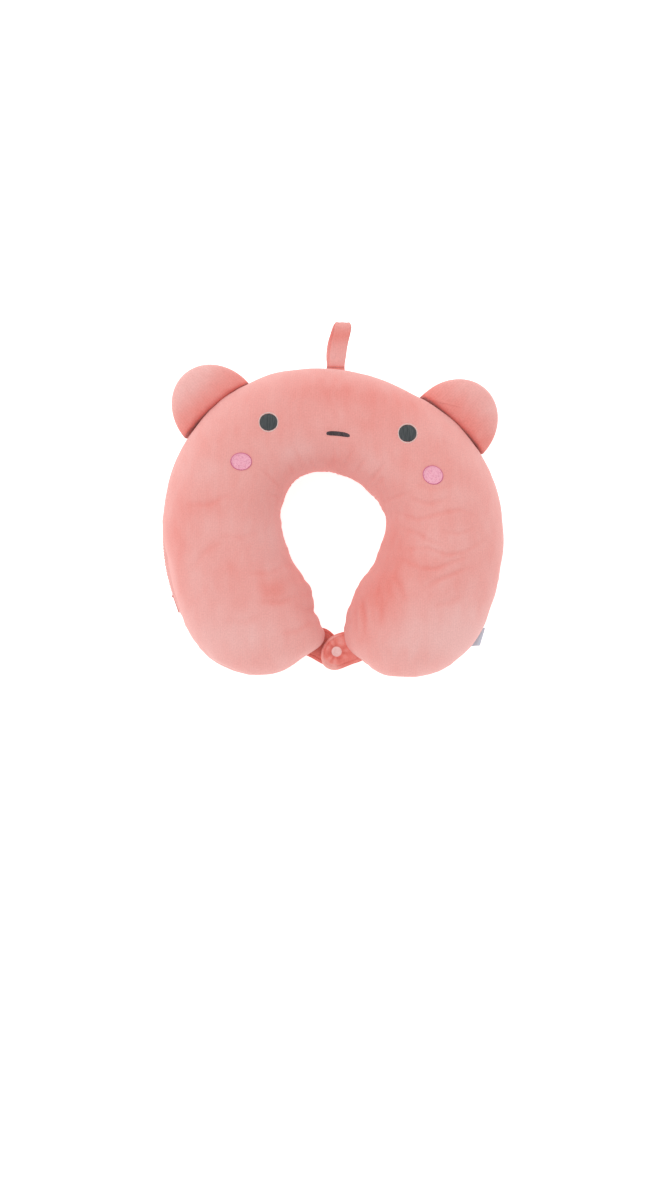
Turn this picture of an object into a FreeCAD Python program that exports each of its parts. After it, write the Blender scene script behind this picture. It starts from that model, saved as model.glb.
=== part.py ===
import FreeCAD, Part

import math
import os

from FreeCAD import Vector

# U-shaped travel neck pillow with a plain animal face.
# It lies on its back with its face up: +Z is up, +Y points to the hanging strap,
# +X is to the right seen from above.  All sizes are in millimetres.

# --- driving dimensions ------------------------------------------------------

# Plan outline of the stuffed tube, symmetric about x = 0.
HALF_WIDTH = 155.5           # widest half width of the outside
WIDEST_Y = -24.0             # where the outside is widest
NAPE_TOP_Y = 118.0           # outside of the nape
ARM_END_Y = -162.0           # lowest point of the arms
LOBE_X = 67.0                # x of the arm's lowest point
NECK_HALF_WIDTH = 47.5       # widest half width of the neck opening
NECK_WIDEST_Y = -22.0        # where the neck opening is widest
NECK_TOP_Y = 24.0            # top of the neck opening
LOBE_INNER_Y = -118.0        # where the two arms are nearest
LOBE_INNER_X = 10.0          # half of the gap between the arms there

# Cross-sections of the tube, each upright, from its outside to its inside point.
SEAM_Z = 50.0                # height of the seam between front and back panel
SECTION_POWER = 2.15         # 2 is an ellipse; more is squarer
SECTION_POINTS = 16
# Nape to side: turn round the outline in degrees, half height.
SHOULDER_SECTIONS = ((90, 46.0), (67.5, 48.0), (45, 50.0), (22.5, 51.5), (0, 52.0))
# Arm: turn of the outside point, inside point, half height.
ARM_SECTIONS = ((-15, (38.0, -53.0), 52.0), (-30, (21.0, -82.0), 51.0),
                (-45, (11.0, -108.0), 47.5))
# Rounded end of the arm: turn of the outside point, y of the inside point, half height.
END_SECTIONS = ((-60, -132.0, 39.5), (-72, -148.0, 28.5), (-83, -159.0, 15.0))

# Layers, measured inwards from the plush surface.
COVER_T = 2.5                # plush fabric with its pile
COVER_LINER_GAP = 1.5        # loose room under the cover, which the zip needs
LINER_T = 0.8                # thin inner cover
LINER_FOAM_GAP = 0.6

# Where the foam bends when the arms are pulled apart.
FLEX_X = 16.0
FLEX_GAP = 0.2               # each side of the bending plane

# Ears: padded D shapes sewn into the seam along a straight root.
EAR_ROOT_INNER = (78.6, 100.1)
EAR_ROOT_OUTER = (135.4, 48.8)
EAR_HEIGHT = 44.3            # from the root line to the tip
EAR_HINGE_V = 7.0            # bending line, measured out from the root line
EAR_POWER = 2.0
EAR_HALF_T = 14.0            # half thickness of the stuffed ear
EAR_ROOT_HALF_T = 2.6        # half thickness where it is sewn in
EAR_FABRIC_T = 1.6
EAR_FILLING_GAP = 0.3
EAR_SECTIONS = 9

# Face embroidery.
EYE_X = 63.5
EYE_Y = 64.7
EYE_D = 16.4
MOUTH_X = 3.5
MOUTH_Y = 59.2
MOUTH_L = 21.0
MOUTH_W = 4.8
CHEEK_X = 87.0
CHEEK_Y = 27.6
CHEEK_LX = 19.0
CHEEK_LY = 16.0
STITCH_T = 0.8

# Hanging strap: a loop of plush tape sewn into the seam at the nape.
STRAP_X = -1.0
STRAP_W = 16.0
STRAP_T = 2.0
STRAP_HINGE_Y = 121.5
STRAP_ROOT_HALF = 2.4
STRAP_END_R = 7.0
STRAP_TIP_Y = 162.0

# Closing tabs with a plastic press stud.
SNAP_X = 5.4
SNAP_Y = -138.7
SOCKET_TAB_R = 15.5          # round end of the upper tab
STUD_TAB_R = 8.8             # round end of the lower tab, clear of the other arm
TAB_ROOT_HALF_W = 15.5
TAB_T = 3.0
TAB_ROOT_CLEAR = 2.0         # from the arm's edge to the tab's bending line
STUD_TAB_Z = 45.5            # middle of the lower tab
SNAP_D = 12.4
SNAP_PLATE_T = 1.2
STUD_D = 4.6
STUD_H = 2.0
STUD_CLEAR = 0.3             # between the stud's top and the socket, not pressed shut
SOCKET_T = 2.0
SOCKET_HOLE_D = 4.8
SOCKET_TAB_EDGE_Y = -134.0   # where the socket tab meets the right arm
STUD_TAB_EDGE_Y = -131.0     # where the stud tab meets the left arm

# Woven side label, folded once, sewn into the seam of the right arm.
LABEL_Y = -123.3
LABEL_W = 17.0
LABEL_OUT = 9.5
LABEL_T = 1.0
LABEL_GAP = 0.4              # between the label and the seam

# Zip in the back panel, on a circular arc round the outer side of the left arm.
ZIP_CENTRE = (13.0, -32.0)
ZIP_R = 165.9                # radius of the plush surface at the zip
ZIP_Z = 32.0
ZIP_TILT = 18.0              # lean of the wall there, in degrees
ZIP_HALF_SPAN = 24.0         # half of the zip's arc, in degrees
SLOT_HALF = 6.6
TAPE_N = (-1.9, -1.4)        # depths of each layer below the plush surface
TAPE_S = (0.9, 6.3)          # distances from the zip's middle line
COIL_N = (-1.4, -0.5)
COIL_S = (0.5, 1.9)
STOP_SPAN = 0.7
SLIDER_INNER_N = (-2.7, -2.2)
SLIDER_OUTER_N = (-0.2, 0.7)
SLIDER_HALF_SPAN = 1.9
SLIDER_HALF_W = 3.2
SLIDER_REST = 20.8           # rest angle of the slider from the zip's middle
PIN_OUT = 3.1                # the pull's pin, out from the plush surface
PIN_R = 0.55
PIN_HALF_L = 3.2
LUG_T = 0.6
LUG_HALF_W = 0.9
EYE_HOLE_R = 0.62
EYE_R = 1.35
PULL_L = 16.0
PULL_HALF_W = 2.4
PULL_T = 1.0

BIG = 400.0


# --- small helpers -----------------------------------------------------------

def write(shape, node):
    """Write one sub-part to its own STEP file."""
    shape.exportStep("parts/" + node + ".step")
    print(node, len(shape.Solids), round(shape.Volume / 1000.0, 2), shape.isValid())


def slab(low, high):
    """A box from its low corner to its high corner."""
    low = Vector(*low)
    high = Vector(*high)
    size = high - low
    return Part.makeBox(size.x, size.y, size.z, low)


def above(z):
    return slab((-BIG, -BIG, z), (BIG, BIG, z + BIG))


def below(z):
    return slab((-BIG, -BIG, z - BIG), (BIG, BIG, z))


def mirrored(shape):
    """The same shape on the other side of x = 0."""
    return shape.mirror(Vector(0, 0, 0), Vector(1, 0, 0))


def signed_power(value, power):
    return math.copysign(abs(value) ** power, value)


def super_section(centre, across, half_width, half_height, power):
    """A closed upright section, rounder or squarer than an ellipse."""
    points = []
    for step in range(SECTION_POINTS):
        turn = 2.0 * math.pi * step / SECTION_POINTS
        u = half_width * signed_power(math.cos(turn), 2.0 / power)
        w = half_height * signed_power(math.sin(turn), 2.0 / power)
        points.append(centre + across * u + Vector(0, 0, w))
    curve = Part.BSplineCurve()
    curve.interpolate(Points=points, PeriodicFlag=True)
    return Part.Wire(curve.toShape())


# --- plan outline of the tube ------------------------------------------------

def outside_upper(turn):
    """Outside of the nape and shoulders; turn is 90 at the nape and 0 at the side."""
    angle = math.radians(turn)
    return Vector(HALF_WIDTH * math.cos(angle),
                  WIDEST_Y + (NAPE_TOP_Y - WIDEST_Y) * math.sin(angle), SEAM_Z)


def outside_lower(turn):
    """Outside of the arm; turn is 0 at the side and -90 at the arm's lowest point."""
    angle = math.radians(turn)
    return Vector(LOBE_X + (HALF_WIDTH - LOBE_X) * math.cos(angle),
                  WIDEST_Y + (WIDEST_Y - ARM_END_Y) * math.sin(angle), SEAM_Z)


def inside_upper(turn):
    """Edge of the neck opening round the nape."""
    angle = math.radians(turn)
    return Vector(NECK_HALF_WIDTH * math.cos(angle),
                  NECK_WIDEST_Y + (NECK_TOP_Y - NECK_WIDEST_Y) * math.sin(angle), SEAM_Z)


def lobe_inside(y):
    """Edge of the arm's rounded end, on the side of the gap."""
    drop = (LOBE_INNER_Y - y) / (LOBE_INNER_Y - ARM_END_Y)
    x = LOBE_X - (LOBE_X - LOBE_INNER_X) * math.sqrt(1.0 - drop * drop)
    return Vector(x, y, SEAM_Z)


def stations():
    """Right-hand sections from the nape to the arm's end: outside, inside, half height."""
    rows = []
    for turn, height in SHOULDER_SECTIONS:
        rows.append((outside_upper(turn), inside_upper(turn), height))
    for turn, inside, height in ARM_SECTIONS:
        rows.append((outside_lower(turn), Vector(inside[0], inside[1], SEAM_Z), height))
    for turn, inside_y, height in END_SECTIONS:
        rows.append((outside_lower(turn), lobe_inside(inside_y), height))
    return rows


def tube(inset):
    """The whole U, this far inside the plush surface, flattened where it rests."""
    half = []
    for outside, inside, height in stations():
        centre = (outside + inside) * 0.5
        across = outside - inside
        half_width = across.Length / 2.0 - inset
        half_height = height - inset
        across.normalize()
        half.append((centre, across, half_width, half_height))
    tip = Vector(LOBE_X - 1.0, ARM_END_Y + inset, SEAM_Z)
    sections = [Part.Vertex(Vector(-tip.x, tip.y, tip.z))]
    for centre, across, half_width, half_height in reversed(half[1:]):
        mirrored_centre = Vector(-centre.x, centre.y, centre.z)
        mirrored_across = Vector(-across.x, across.y, 0)
        sections.append(super_section(mirrored_centre, mirrored_across,
                                      half_width, half_height, SECTION_POWER))
    for centre, across, half_width, half_height in half:
        sections.append(super_section(centre, across, half_width, half_height,
                                      SECTION_POWER))
    sections.append(Part.Vertex(tip))
    solid = Part.makeLoft(sections, True, False)
    return solid.common(above(inset))


# --- cover, liner and foam ---------------------------------------------------

def halves(shape):
    """The part of a shape on each side of the bending plane.

    The plane only crosses the nape: below it, each arm is on its own side of x = 0.
    """
    nape_left = slab((-BIG, 0, -BIG), (FLEX_X - FLEX_GAP, BIG, BIG))
    nape_right = slab((FLEX_X + FLEX_GAP, 0, -BIG), (BIG, BIG, BIG))
    arm_left = slab((-BIG, -BIG, -BIG), (0, 0, BIG))
    arm_right = slab((0, -BIG, -BIG), (BIG, 0, BIG))
    left = shape.common(nape_left.fuse(arm_left).removeSplitter())
    right = shape.common(nape_right.fuse(arm_right).removeSplitter())
    return left, right


def cover_panels(plush, cavity, slot):
    """Front and back plush panels, cut at the bending plane."""
    shell = plush.cut(cavity)
    front = shell.common(above(SEAM_Z))
    back = shell.common(below(SEAM_Z)).cut(slot)
    front_left, front_right = halves(front)
    back_left, back_right = halves(back)
    return {"cover_front_left": front_left, "cover_front_right": front_right,
            "cover_back_left": back_left, "cover_back_right": back_right}


# --- ears --------------------------------------------------------------------

def ear_half_thickness(v):
    """Half thickness of the stuffed ear at this distance out from the root line."""
    rise = min(1.0, (v - EAR_HINGE_V) / (0.45 * EAR_HEIGHT))
    root = EAR_ROOT_HALF_T / EAR_HALF_T
    swell = root + (1.0 - root) * math.sin(0.5 * math.pi * rise)
    fall = max(0.0, (v - 0.45 * EAR_HEIGHT) / (0.55 * EAR_HEIGHT))
    return EAR_HALF_T * swell * math.sqrt(max(0.0, 1.0 - fall ** 2.4))


def ear_solid(inset):
    """Right ear, this far inside its fabric surface."""
    inner = Vector(EAR_ROOT_INNER[0], EAR_ROOT_INNER[1], SEAM_Z)
    outer = Vector(EAR_ROOT_OUTER[0], EAR_ROOT_OUTER[1], SEAM_Z)
    middle = (inner + outer) * 0.5
    across = outer - inner
    half_root = across.Length / 2.0
    across.normalize()
    out = Vector(-across.y, across.x, 0)
    start = EAR_HINGE_V - EAR_ROOT_HALF_T + inset
    end = EAR_HEIGHT - inset
    wires = []
    for step in range(EAR_SECTIONS):
        v = start + (end - start) * math.sin(0.5 * math.pi * step / EAR_SECTIONS)
        wide = half_root * (1.0 - (v / EAR_HEIGHT) ** EAR_POWER) ** (1.0 / EAR_POWER)
        thick = ear_half_thickness(v)
        wires.append(super_section(middle + out * v, across, wide - inset,
                                   max(thick - inset, 0.4), 2.0))
    wires.append(Part.Vertex(middle + out * end))
    return Part.makeLoft(wires, True, False)


def ear_parts():
    """Front panel, back panel and filling of the right ear."""
    plush = ear_solid(0.0)
    cavity = ear_solid(EAR_FABRIC_T)
    filling = ear_solid(EAR_FABRIC_T + EAR_FILLING_GAP)
    shell = plush.cut(cavity)
    return {"front": shell.common(above(SEAM_Z)), "back": shell.common(below(SEAM_Z)),
            "filling": filling}


# --- face --------------------------------------------------------------------

def stitched_patch(outline, plush, raised):
    """A thin embroidered patch that follows the plush surface under its outline."""
    column = Part.Face(outline).extrude(Vector(0, 0, BIG))
    return column.common(raised).cut(plush)


def oval_outline(x, y, length_x, length_y):
    centre = Vector(x, y, SEAM_Z)
    long_x = length_x >= length_y
    major = max(length_x, length_y) / 2.0
    minor = min(length_x, length_y) / 2.0
    oval = Part.Ellipse(centre, major, minor).toShape()
    if not long_x:
        oval.rotate(centre, Vector(0, 0, 1), 90)
    return Part.Wire(oval)


def mouth_outline():
    """A short bar with round ends."""
    r = MOUTH_W / 2.0
    half = MOUTH_L / 2.0 - r
    top = MOUTH_Y + r
    low = MOUTH_Y - r
    left = MOUTH_X - half
    right = MOUTH_X + half
    edges = [
        Part.LineSegment(Vector(left, top, SEAM_Z), Vector(right, top, SEAM_Z)),
        Part.Arc(Vector(right, top, SEAM_Z), Vector(right + r, MOUTH_Y, SEAM_Z),
                 Vector(right, low, SEAM_Z)),
        Part.LineSegment(Vector(right, low, SEAM_Z), Vector(left, low, SEAM_Z)),
        Part.Arc(Vector(left, low, SEAM_Z), Vector(left - r, MOUTH_Y, SEAM_Z),
                 Vector(left, top, SEAM_Z)),
    ]
    return Part.Wire([edge.toShape() for edge in edges])


def face_parts(plush):
    raised = tube(-STITCH_T)
    outlines = {
        "eye_left": oval_outline(-EYE_X, EYE_Y, EYE_D, EYE_D),
        "eye_right": oval_outline(EYE_X, EYE_Y, EYE_D, EYE_D),
        "cheek_left": oval_outline(-CHEEK_X, CHEEK_Y, CHEEK_LX, CHEEK_LY),
        "cheek_right": oval_outline(CHEEK_X, CHEEK_Y, CHEEK_LX, CHEEK_LY),
        "mouth": mouth_outline(),
    }
    return {node: stitched_patch(outline, plush, raised)
            for node, outline in outlines.items()}


# --- hanging strap -----------------------------------------------------------

def teardrop(root_half, end_r, root_y, end_y):
    """Side view of a loop: round at its end, narrow at its root."""
    run = end_y - root_y
    lean = math.asin((end_r - root_half) / run)
    touch_y = end_y - end_r * math.sin(lean)
    touch_z = end_r * math.cos(lean)
    low_root = Vector(STRAP_X, root_y, SEAM_Z - root_half)
    high_root = Vector(STRAP_X, root_y, SEAM_Z + root_half)
    high_touch = Vector(STRAP_X, touch_y, SEAM_Z + touch_z)
    low_touch = Vector(STRAP_X, touch_y, SEAM_Z - touch_z)
    edges = [
        Part.LineSegment(low_root, high_root),
        Part.LineSegment(high_root, high_touch),
        Part.Arc(high_touch, Vector(STRAP_X, end_y + end_r, SEAM_Z), low_touch),
        Part.LineSegment(low_touch, low_root),
    ]
    return Part.Face(Part.Wire([edge.toShape() for edge in edges]))


def hanging_strap():
    end_y = STRAP_TIP_Y - STRAP_END_R
    outer = teardrop(STRAP_ROOT_HALF, STRAP_END_R, STRAP_HINGE_Y - 1.0, end_y)
    inner = teardrop(STRAP_ROOT_HALF - STRAP_T, STRAP_END_R - STRAP_T,
                     STRAP_HINGE_Y + 3.0, end_y)
    loop = outer.cut(inner).extrude(Vector(STRAP_W, 0, 0))
    loop.translate(Vector(-STRAP_W / 2.0, 0, 0))
    return loop


# --- closing tabs and press stud --------------------------------------------

def arm_edge_normal(y):
    """Unit vector out of the right arm's rounded end, into the gap."""
    point = lobe_inside(y)
    nearby = lobe_inside(y + 0.1)
    along = nearby - point
    along.normalize()
    return Vector(-along.y, along.x, 0)


def tab_plate(root, out, z, end_r):
    """A tab from its rounded sewn edge to its round end about the press stud."""
    snap = Vector(SNAP_X, SNAP_Y, z)
    reach = (snap - Vector(root.x, root.y, z)).dot(out)
    side = Vector(-out.y, out.x, 0)
    foot = snap - out * reach
    corners = (foot + side * TAB_ROOT_HALF_W, foot - side * TAB_ROOT_HALF_W,
               snap - side * end_r, snap + side * end_r)
    edges = [
        Part.LineSegment(corners[0], corners[1]),
        Part.LineSegment(corners[1], corners[2]),
        Part.Arc(corners[2], snap + out * end_r, corners[3]),
        Part.LineSegment(corners[3], corners[0]),
    ]
    face = Part.Face(Part.Wire([edge.toShape() for edge in edges]))
    plate = face.extrude(Vector(0, 0, TAB_T))
    plate.translate(Vector(0, 0, -TAB_T / 2.0))
    roll = Part.makeCylinder(TAB_T / 2.0, 2.0 * TAB_ROOT_HALF_W, corners[1], side)
    return plate.fuse(roll).removeSplitter()


def disc(diameter, z_low, height):
    return Part.makeCylinder(diameter / 2.0, height, Vector(SNAP_X, SNAP_Y, z_low))


def stud_side():
    """Lower tab, stud and the stud's back plate, on the left arm."""
    edge = lobe_inside(STUD_TAB_EDGE_Y)
    out = arm_edge_normal(STUD_TAB_EDGE_Y)
    edge = Vector(-edge.x, edge.y, 0)
    out = Vector(-out.x, out.y, 0)
    root = edge + out * TAB_ROOT_CLEAR
    tab_top = STUD_TAB_Z + TAB_T / 2.0
    stud = disc(SNAP_D, tab_top, SNAP_PLATE_T)
    stud = stud.fuse(disc(STUD_D, tab_top + SNAP_PLATE_T, STUD_H)).removeSplitter()
    plate = disc(SNAP_D, STUD_TAB_Z - TAB_T / 2.0 - SNAP_PLATE_T, SNAP_PLATE_T)
    return {"stud_tab": tab_plate(root, out, STUD_TAB_Z, STUD_TAB_R), "snap_stud": stud,
            "snap_stud_plate": plate}


def socket_side():
    """Upper tab, socket and cap, on the right arm, lying over the stud."""
    edge = lobe_inside(SOCKET_TAB_EDGE_Y)
    out = arm_edge_normal(SOCKET_TAB_EDGE_Y)
    root = edge + out * TAB_ROOT_CLEAR
    socket_z = STUD_TAB_Z + TAB_T / 2.0 + SNAP_PLATE_T + STUD_H + STUD_CLEAR
    tab_z = socket_z + SOCKET_T + TAB_T / 2.0
    socket = disc(SNAP_D, socket_z, SOCKET_T).cut(disc(SOCKET_HOLE_D, socket_z, SOCKET_T))
    cap = disc(SNAP_D, tab_z + TAB_T / 2.0, SNAP_PLATE_T)
    return {"socket_tab": tab_plate(root, out, tab_z, SOCKET_TAB_R), "snap_socket": socket,
            "snap_cap": cap}


# --- label -------------------------------------------------------------------

def side_label():
    """A small folded tag standing out of the right arm's seam."""
    turn = math.asin((LABEL_Y - WIDEST_Y) / (WIDEST_Y - ARM_END_Y))
    point = outside_lower(math.degrees(turn))
    out = Vector(math.cos(turn) / (HALF_WIDTH - LOBE_X),
                 math.sin(turn) / (WIDEST_Y - ARM_END_Y), 0)
    out.normalize()
    tag = Part.makeBox(LABEL_OUT, LABEL_W, LABEL_T,
                       Vector(0, -LABEL_W / 2.0, -LABEL_T / 2.0))
    lean = math.degrees(math.atan2(out.y, out.x))
    tag.rotate(Vector(0, 0, 0), Vector(0, 0, 1), lean)
    tag.translate(point + out * LABEL_GAP)
    return tag


# --- zip ---------------------------------------------------------------------

def wall_point(n, s, turn):
    """A point at the zip: n out of the plush surface, s up the wall, turn along it.

    The turn is counted from the middle of the zip, towards the arm's end.
    """
    tilt = math.radians(ZIP_TILT)
    r = ZIP_R + n * math.cos(tilt) + s * math.sin(tilt)
    z = ZIP_Z - n * math.sin(tilt) + s * math.cos(tilt)
    angle = math.radians(turn)
    return Vector(ZIP_CENTRE[0] - r * math.cos(angle),
                  ZIP_CENTRE[1] - r * math.sin(angle), z)


def wall_sweep(n_low, n_high, s_low, s_high, turn_from, turn_to):
    """A bar of rectangular section that follows the zip's arc."""
    corners = [wall_point(n_low, s_low, turn_from), wall_point(n_high, s_low, turn_from),
               wall_point(n_high, s_high, turn_from), wall_point(n_low, s_high, turn_from)]
    face = Part.Face(Part.makePolygon(corners + [corners[0]]))
    axis_point = Vector(ZIP_CENTRE[0], ZIP_CENTRE[1], 0)
    return face.revolve(axis_point, Vector(0, 0, 1), turn_to - turn_from)


def zip_tapes_and_coils():
    parts = {}
    coil_end = ZIP_HALF_SPAN - STOP_SPAN - 0.1
    for name, side in (("upper", 1.0), ("lower", -1.0)):
        tape = sorted((side * TAPE_S[0], side * TAPE_S[1]))
        coil = sorted((side * COIL_S[0], side * COIL_S[1]))
        parts["zip_tape_" + name] = wall_sweep(*TAPE_N, *tape, -ZIP_HALF_SPAN, ZIP_HALF_SPAN)
        parts["zip_coil_" + name] = wall_sweep(*COIL_N, *coil, -coil_end, coil_end)
    return parts


def zip_stops():
    """Two small stops where the zip closes, and one bar across where it is fully open."""
    stop_n = (COIL_N[0], COIL_N[1] + 0.3)
    stop_s = (COIL_S[0], COIL_S[1] + 0.3)
    closed_end = (ZIP_HALF_SPAN - STOP_SPAN, ZIP_HALF_SPAN)
    upper = wall_sweep(*stop_n, stop_s[0], stop_s[1], *closed_end)
    lower = wall_sweep(*stop_n, -stop_s[1], -stop_s[0], *closed_end)
    bar = wall_sweep(*stop_n, -stop_s[1], stop_s[1],
                     -ZIP_HALF_SPAN, -ZIP_HALF_SPAN + STOP_SPAN)
    return {"zip_top_stops": Part.Compound([upper, lower]), "zip_bottom_stop": bar}


def at_slider(shape):
    """Move a shape, built about the pull's pin with +X outwards, to the slider."""
    shape.rotate(Vector(0, 0, 0), Vector(0, 0, 1), 180.0 + SLIDER_REST)
    surface = wall_point(0.0, 0.0, SLIDER_REST)
    angle = math.radians(SLIDER_REST)
    pin = surface + Vector(-math.cos(angle), -math.sin(angle), 0) * PIN_OUT
    shape.translate(pin)
    return shape


def zip_slider():
    """Inner and outer plates joined by a divider, with two lugs and the pull's pin."""
    low = SLIDER_REST - SLIDER_HALF_SPAN
    high = SLIDER_REST + SLIDER_HALF_SPAN
    inner = wall_sweep(*SLIDER_INNER_N, -SLIDER_HALF_W, SLIDER_HALF_W, low, high)
    outer = wall_sweep(*SLIDER_OUTER_N, -SLIDER_HALF_W, SLIDER_HALF_W, low, high)
    divider = wall_sweep(SLIDER_INNER_N[1], SLIDER_OUTER_N[0], -0.2, 0.2,
                         low + 0.4, high - 0.4)
    slider = outer.fuse(divider).fuse(inner)
    lug_end = PIN_R + 0.4
    for side, root in ((1.0, 1.9), (-1.0, 3.5)):
        lug = slab((-root, -LUG_HALF_W, -LUG_T / 2.0), (lug_end, LUG_HALF_W, LUG_T / 2.0))
        lug.translate(Vector(0, 0, side * (PIN_HALF_L - LUG_T / 2.0)))
        slider = slider.fuse(at_slider(lug))
    pin = Part.makeCylinder(PIN_R, 2.0 * PIN_HALF_L, Vector(0, 0, -PIN_HALF_L))
    return slider.fuse(at_slider(pin)).removeSplitter()


def zip_pull():
    """A flat pull with an eye round the slider's pin, lying back along the zip."""
    eye = Part.makeCylinder(EYE_R, 2.0 * PULL_HALF_W, Vector(0, 0, -PULL_HALF_W))
    blade = slab((-PULL_T / 2.0, 0, -PULL_HALF_W), (PULL_T / 2.0, PULL_L, PULL_HALF_W))
    corners = [edge for edge in blade.Edges
               if edge.BoundBox.XLength > 0.9 and edge.BoundBox.YMin > PULL_L - 0.1
               and edge.BoundBox.ZLength < 0.1]
    blade = blade.makeFillet(1.6, corners)
    hole = Part.makeCylinder(EYE_HOLE_R, 3.0 * PULL_HALF_W, Vector(0, 0, -1.5 * PULL_HALF_W))
    window = slab((-PULL_T, PULL_L - 5.4, -1.2), (PULL_T, PULL_L - 2.0, 1.2))
    pull = eye.fuse(blade).cut(hole).cut(window)
    return at_slider(pull)


# --- the whole pillow --------------------------------------------------------

def build():
    plush = tube(0.0)
    cavity = tube(COVER_T)
    liner_outside = tube(COVER_T + COVER_LINER_GAP)
    liner_inside = tube(COVER_T + COVER_LINER_GAP + LINER_T)
    foam = tube(COVER_T + COVER_LINER_GAP + LINER_T + LINER_FOAM_GAP)
    slot = wall_sweep(-8.0, 8.0, -SLOT_HALF, SLOT_HALF,
                      -ZIP_HALF_SPAN - 0.3, ZIP_HALF_SPAN + 0.3)
    nodes = {}
    nodes.update(cover_panels(plush, cavity, slot))
    nodes["liner_left"], nodes["liner_right"] = halves(liner_outside.cut(liner_inside))
    nodes["foam_core_left"], nodes["foam_core_right"] = halves(foam)
    for name, shape in ear_parts().items():
        nodes["ear_right_" + name] = shape
        nodes["ear_left_" + name] = mirrored(shape)
    nodes.update(face_parts(plush))
    nodes["hanging_strap"] = hanging_strap()
    nodes.update(stud_side())
    nodes.update(socket_side())
    nodes["side_label"] = side_label()
    nodes.update(zip_tapes_and_coils())
    nodes.update(zip_stops())
    nodes["zip_slider"] = zip_slider()
    nodes["zip_pull"] = zip_pull()
    return nodes


os.makedirs("parts", exist_ok=True)
for node_name, node_shape in build().items():
    write(node_shape, node_name)
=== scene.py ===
import math

import bmesh
import bpy
import numpy as np
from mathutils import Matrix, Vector, noise
from mathutils.bvhtree import BVHTree


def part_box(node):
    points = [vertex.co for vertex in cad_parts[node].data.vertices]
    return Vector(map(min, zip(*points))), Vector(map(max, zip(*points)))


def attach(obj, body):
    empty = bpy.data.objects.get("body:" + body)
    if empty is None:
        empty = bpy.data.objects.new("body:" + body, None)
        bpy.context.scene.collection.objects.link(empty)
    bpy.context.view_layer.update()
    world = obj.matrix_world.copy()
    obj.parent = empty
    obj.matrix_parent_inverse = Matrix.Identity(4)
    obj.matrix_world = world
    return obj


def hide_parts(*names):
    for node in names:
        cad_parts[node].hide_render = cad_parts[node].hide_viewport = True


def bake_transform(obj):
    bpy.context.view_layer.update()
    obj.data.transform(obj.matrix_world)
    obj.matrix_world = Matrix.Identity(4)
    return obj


# U shaped neck pillow, lying on its back with its face up.  Metres throughout.
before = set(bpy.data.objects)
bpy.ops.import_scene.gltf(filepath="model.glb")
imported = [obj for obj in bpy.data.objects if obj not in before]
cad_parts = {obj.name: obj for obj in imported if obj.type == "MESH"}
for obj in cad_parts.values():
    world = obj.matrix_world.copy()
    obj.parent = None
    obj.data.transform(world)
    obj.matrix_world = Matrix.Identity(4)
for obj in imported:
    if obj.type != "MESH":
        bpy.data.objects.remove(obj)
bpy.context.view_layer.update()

MM = 0.001

# --- sizes read from the frame -------------------------------------------------

BACK_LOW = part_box("cover_back_left")[0]
BACK_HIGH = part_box("cover_back_right")[1]
HALF_WIDTH = BACK_HIGH.x
NAPE_Y = BACK_HIGH.y
ARM_END_Y = BACK_LOW.y + 1.2 * MM
SEAM_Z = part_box("cover_front_left")[0].z
SNAP_LOW, SNAP_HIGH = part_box("snap_cap")
SNAP_X = 0.5 * (SNAP_LOW.x + SNAP_HIGH.x)
SNAP_Y = 0.5 * (SNAP_LOW.y + SNAP_HIGH.y)

# --- shape of the stuffed cover ------------------------------------------------

WIDEST_Y = -24 * MM
LOBE_X = 67 * MM
NECK_HALF_WIDTH = 47.5 * MM
NECK_WIDEST_Y = -22 * MM
NECK_TOP_Y = 24.0 * MM
NAPE_LEAN = -9.5 * MM        # the nape's top sits a little to the left
NECK_LEAN = -9 * MM          # so does the top of the neck opening
LEAN = 0.05                  # the face end is turned a little against the arms
PLUSH_SWELL = 0.6 * MM

COARSE = 3                   # the cloth is settled on every third section
RINGS = 168 * COARSE + 1     # sections along the tube
AROUND = 200                 # points round each section
SECTION_POWER = 2.15
TIP_SHARE = 0.03             # size of the closing ring at each arm's end

# --- the zip, in the outer wall of the left arm's back panel -------------------

ZIP_X = 13 * MM              # the centre of the zip's arc
ZIP_Y = -32 * MM
ZIP_R = 165.9 * MM
ZIP_Z = 32 * MM
ZIP_TILT = math.radians(18)
ZIP_SPAN = math.radians(24.3)
SLOT_HALF = 6.6 * MM         # half the slot's width
SLOT_COLUMNS = (185, 193)    # these columns of points follow the slot's edges


def smooth(low, high, value):
    """0 below low, 1 above high, smooth between."""
    t = np.clip((np.asarray(value, float) - low) / (high - low), 0.0, 1.0)
    return t * t * (3.0 - 2.0 * t)


def bell(value, width):
    """1 at zero, falling to almost nothing two widths away."""
    return np.exp(-(value / width) ** 2)


def full_turn(count):
    """This many angles, evenly spread over one turn."""
    return np.linspace(0.0, 2.0 * math.pi, count, endpoint=False)


def blunted(value, power):
    """The value's size raised to a power, with its sign kept."""
    return np.sign(value) * np.abs(value) ** power


def unit(vectors):
    """The vectors, each made one long."""
    return vectors / np.maximum(np.linalg.norm(vectors, axis=-1, keepdims=True), 1e-12)


def lumps(scale, *places):
    """Smooth noise at each place, this many lumps to a metre."""
    return np.array([noise.noise(Vector(place) * scale) for place in zip(*places)])


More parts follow.
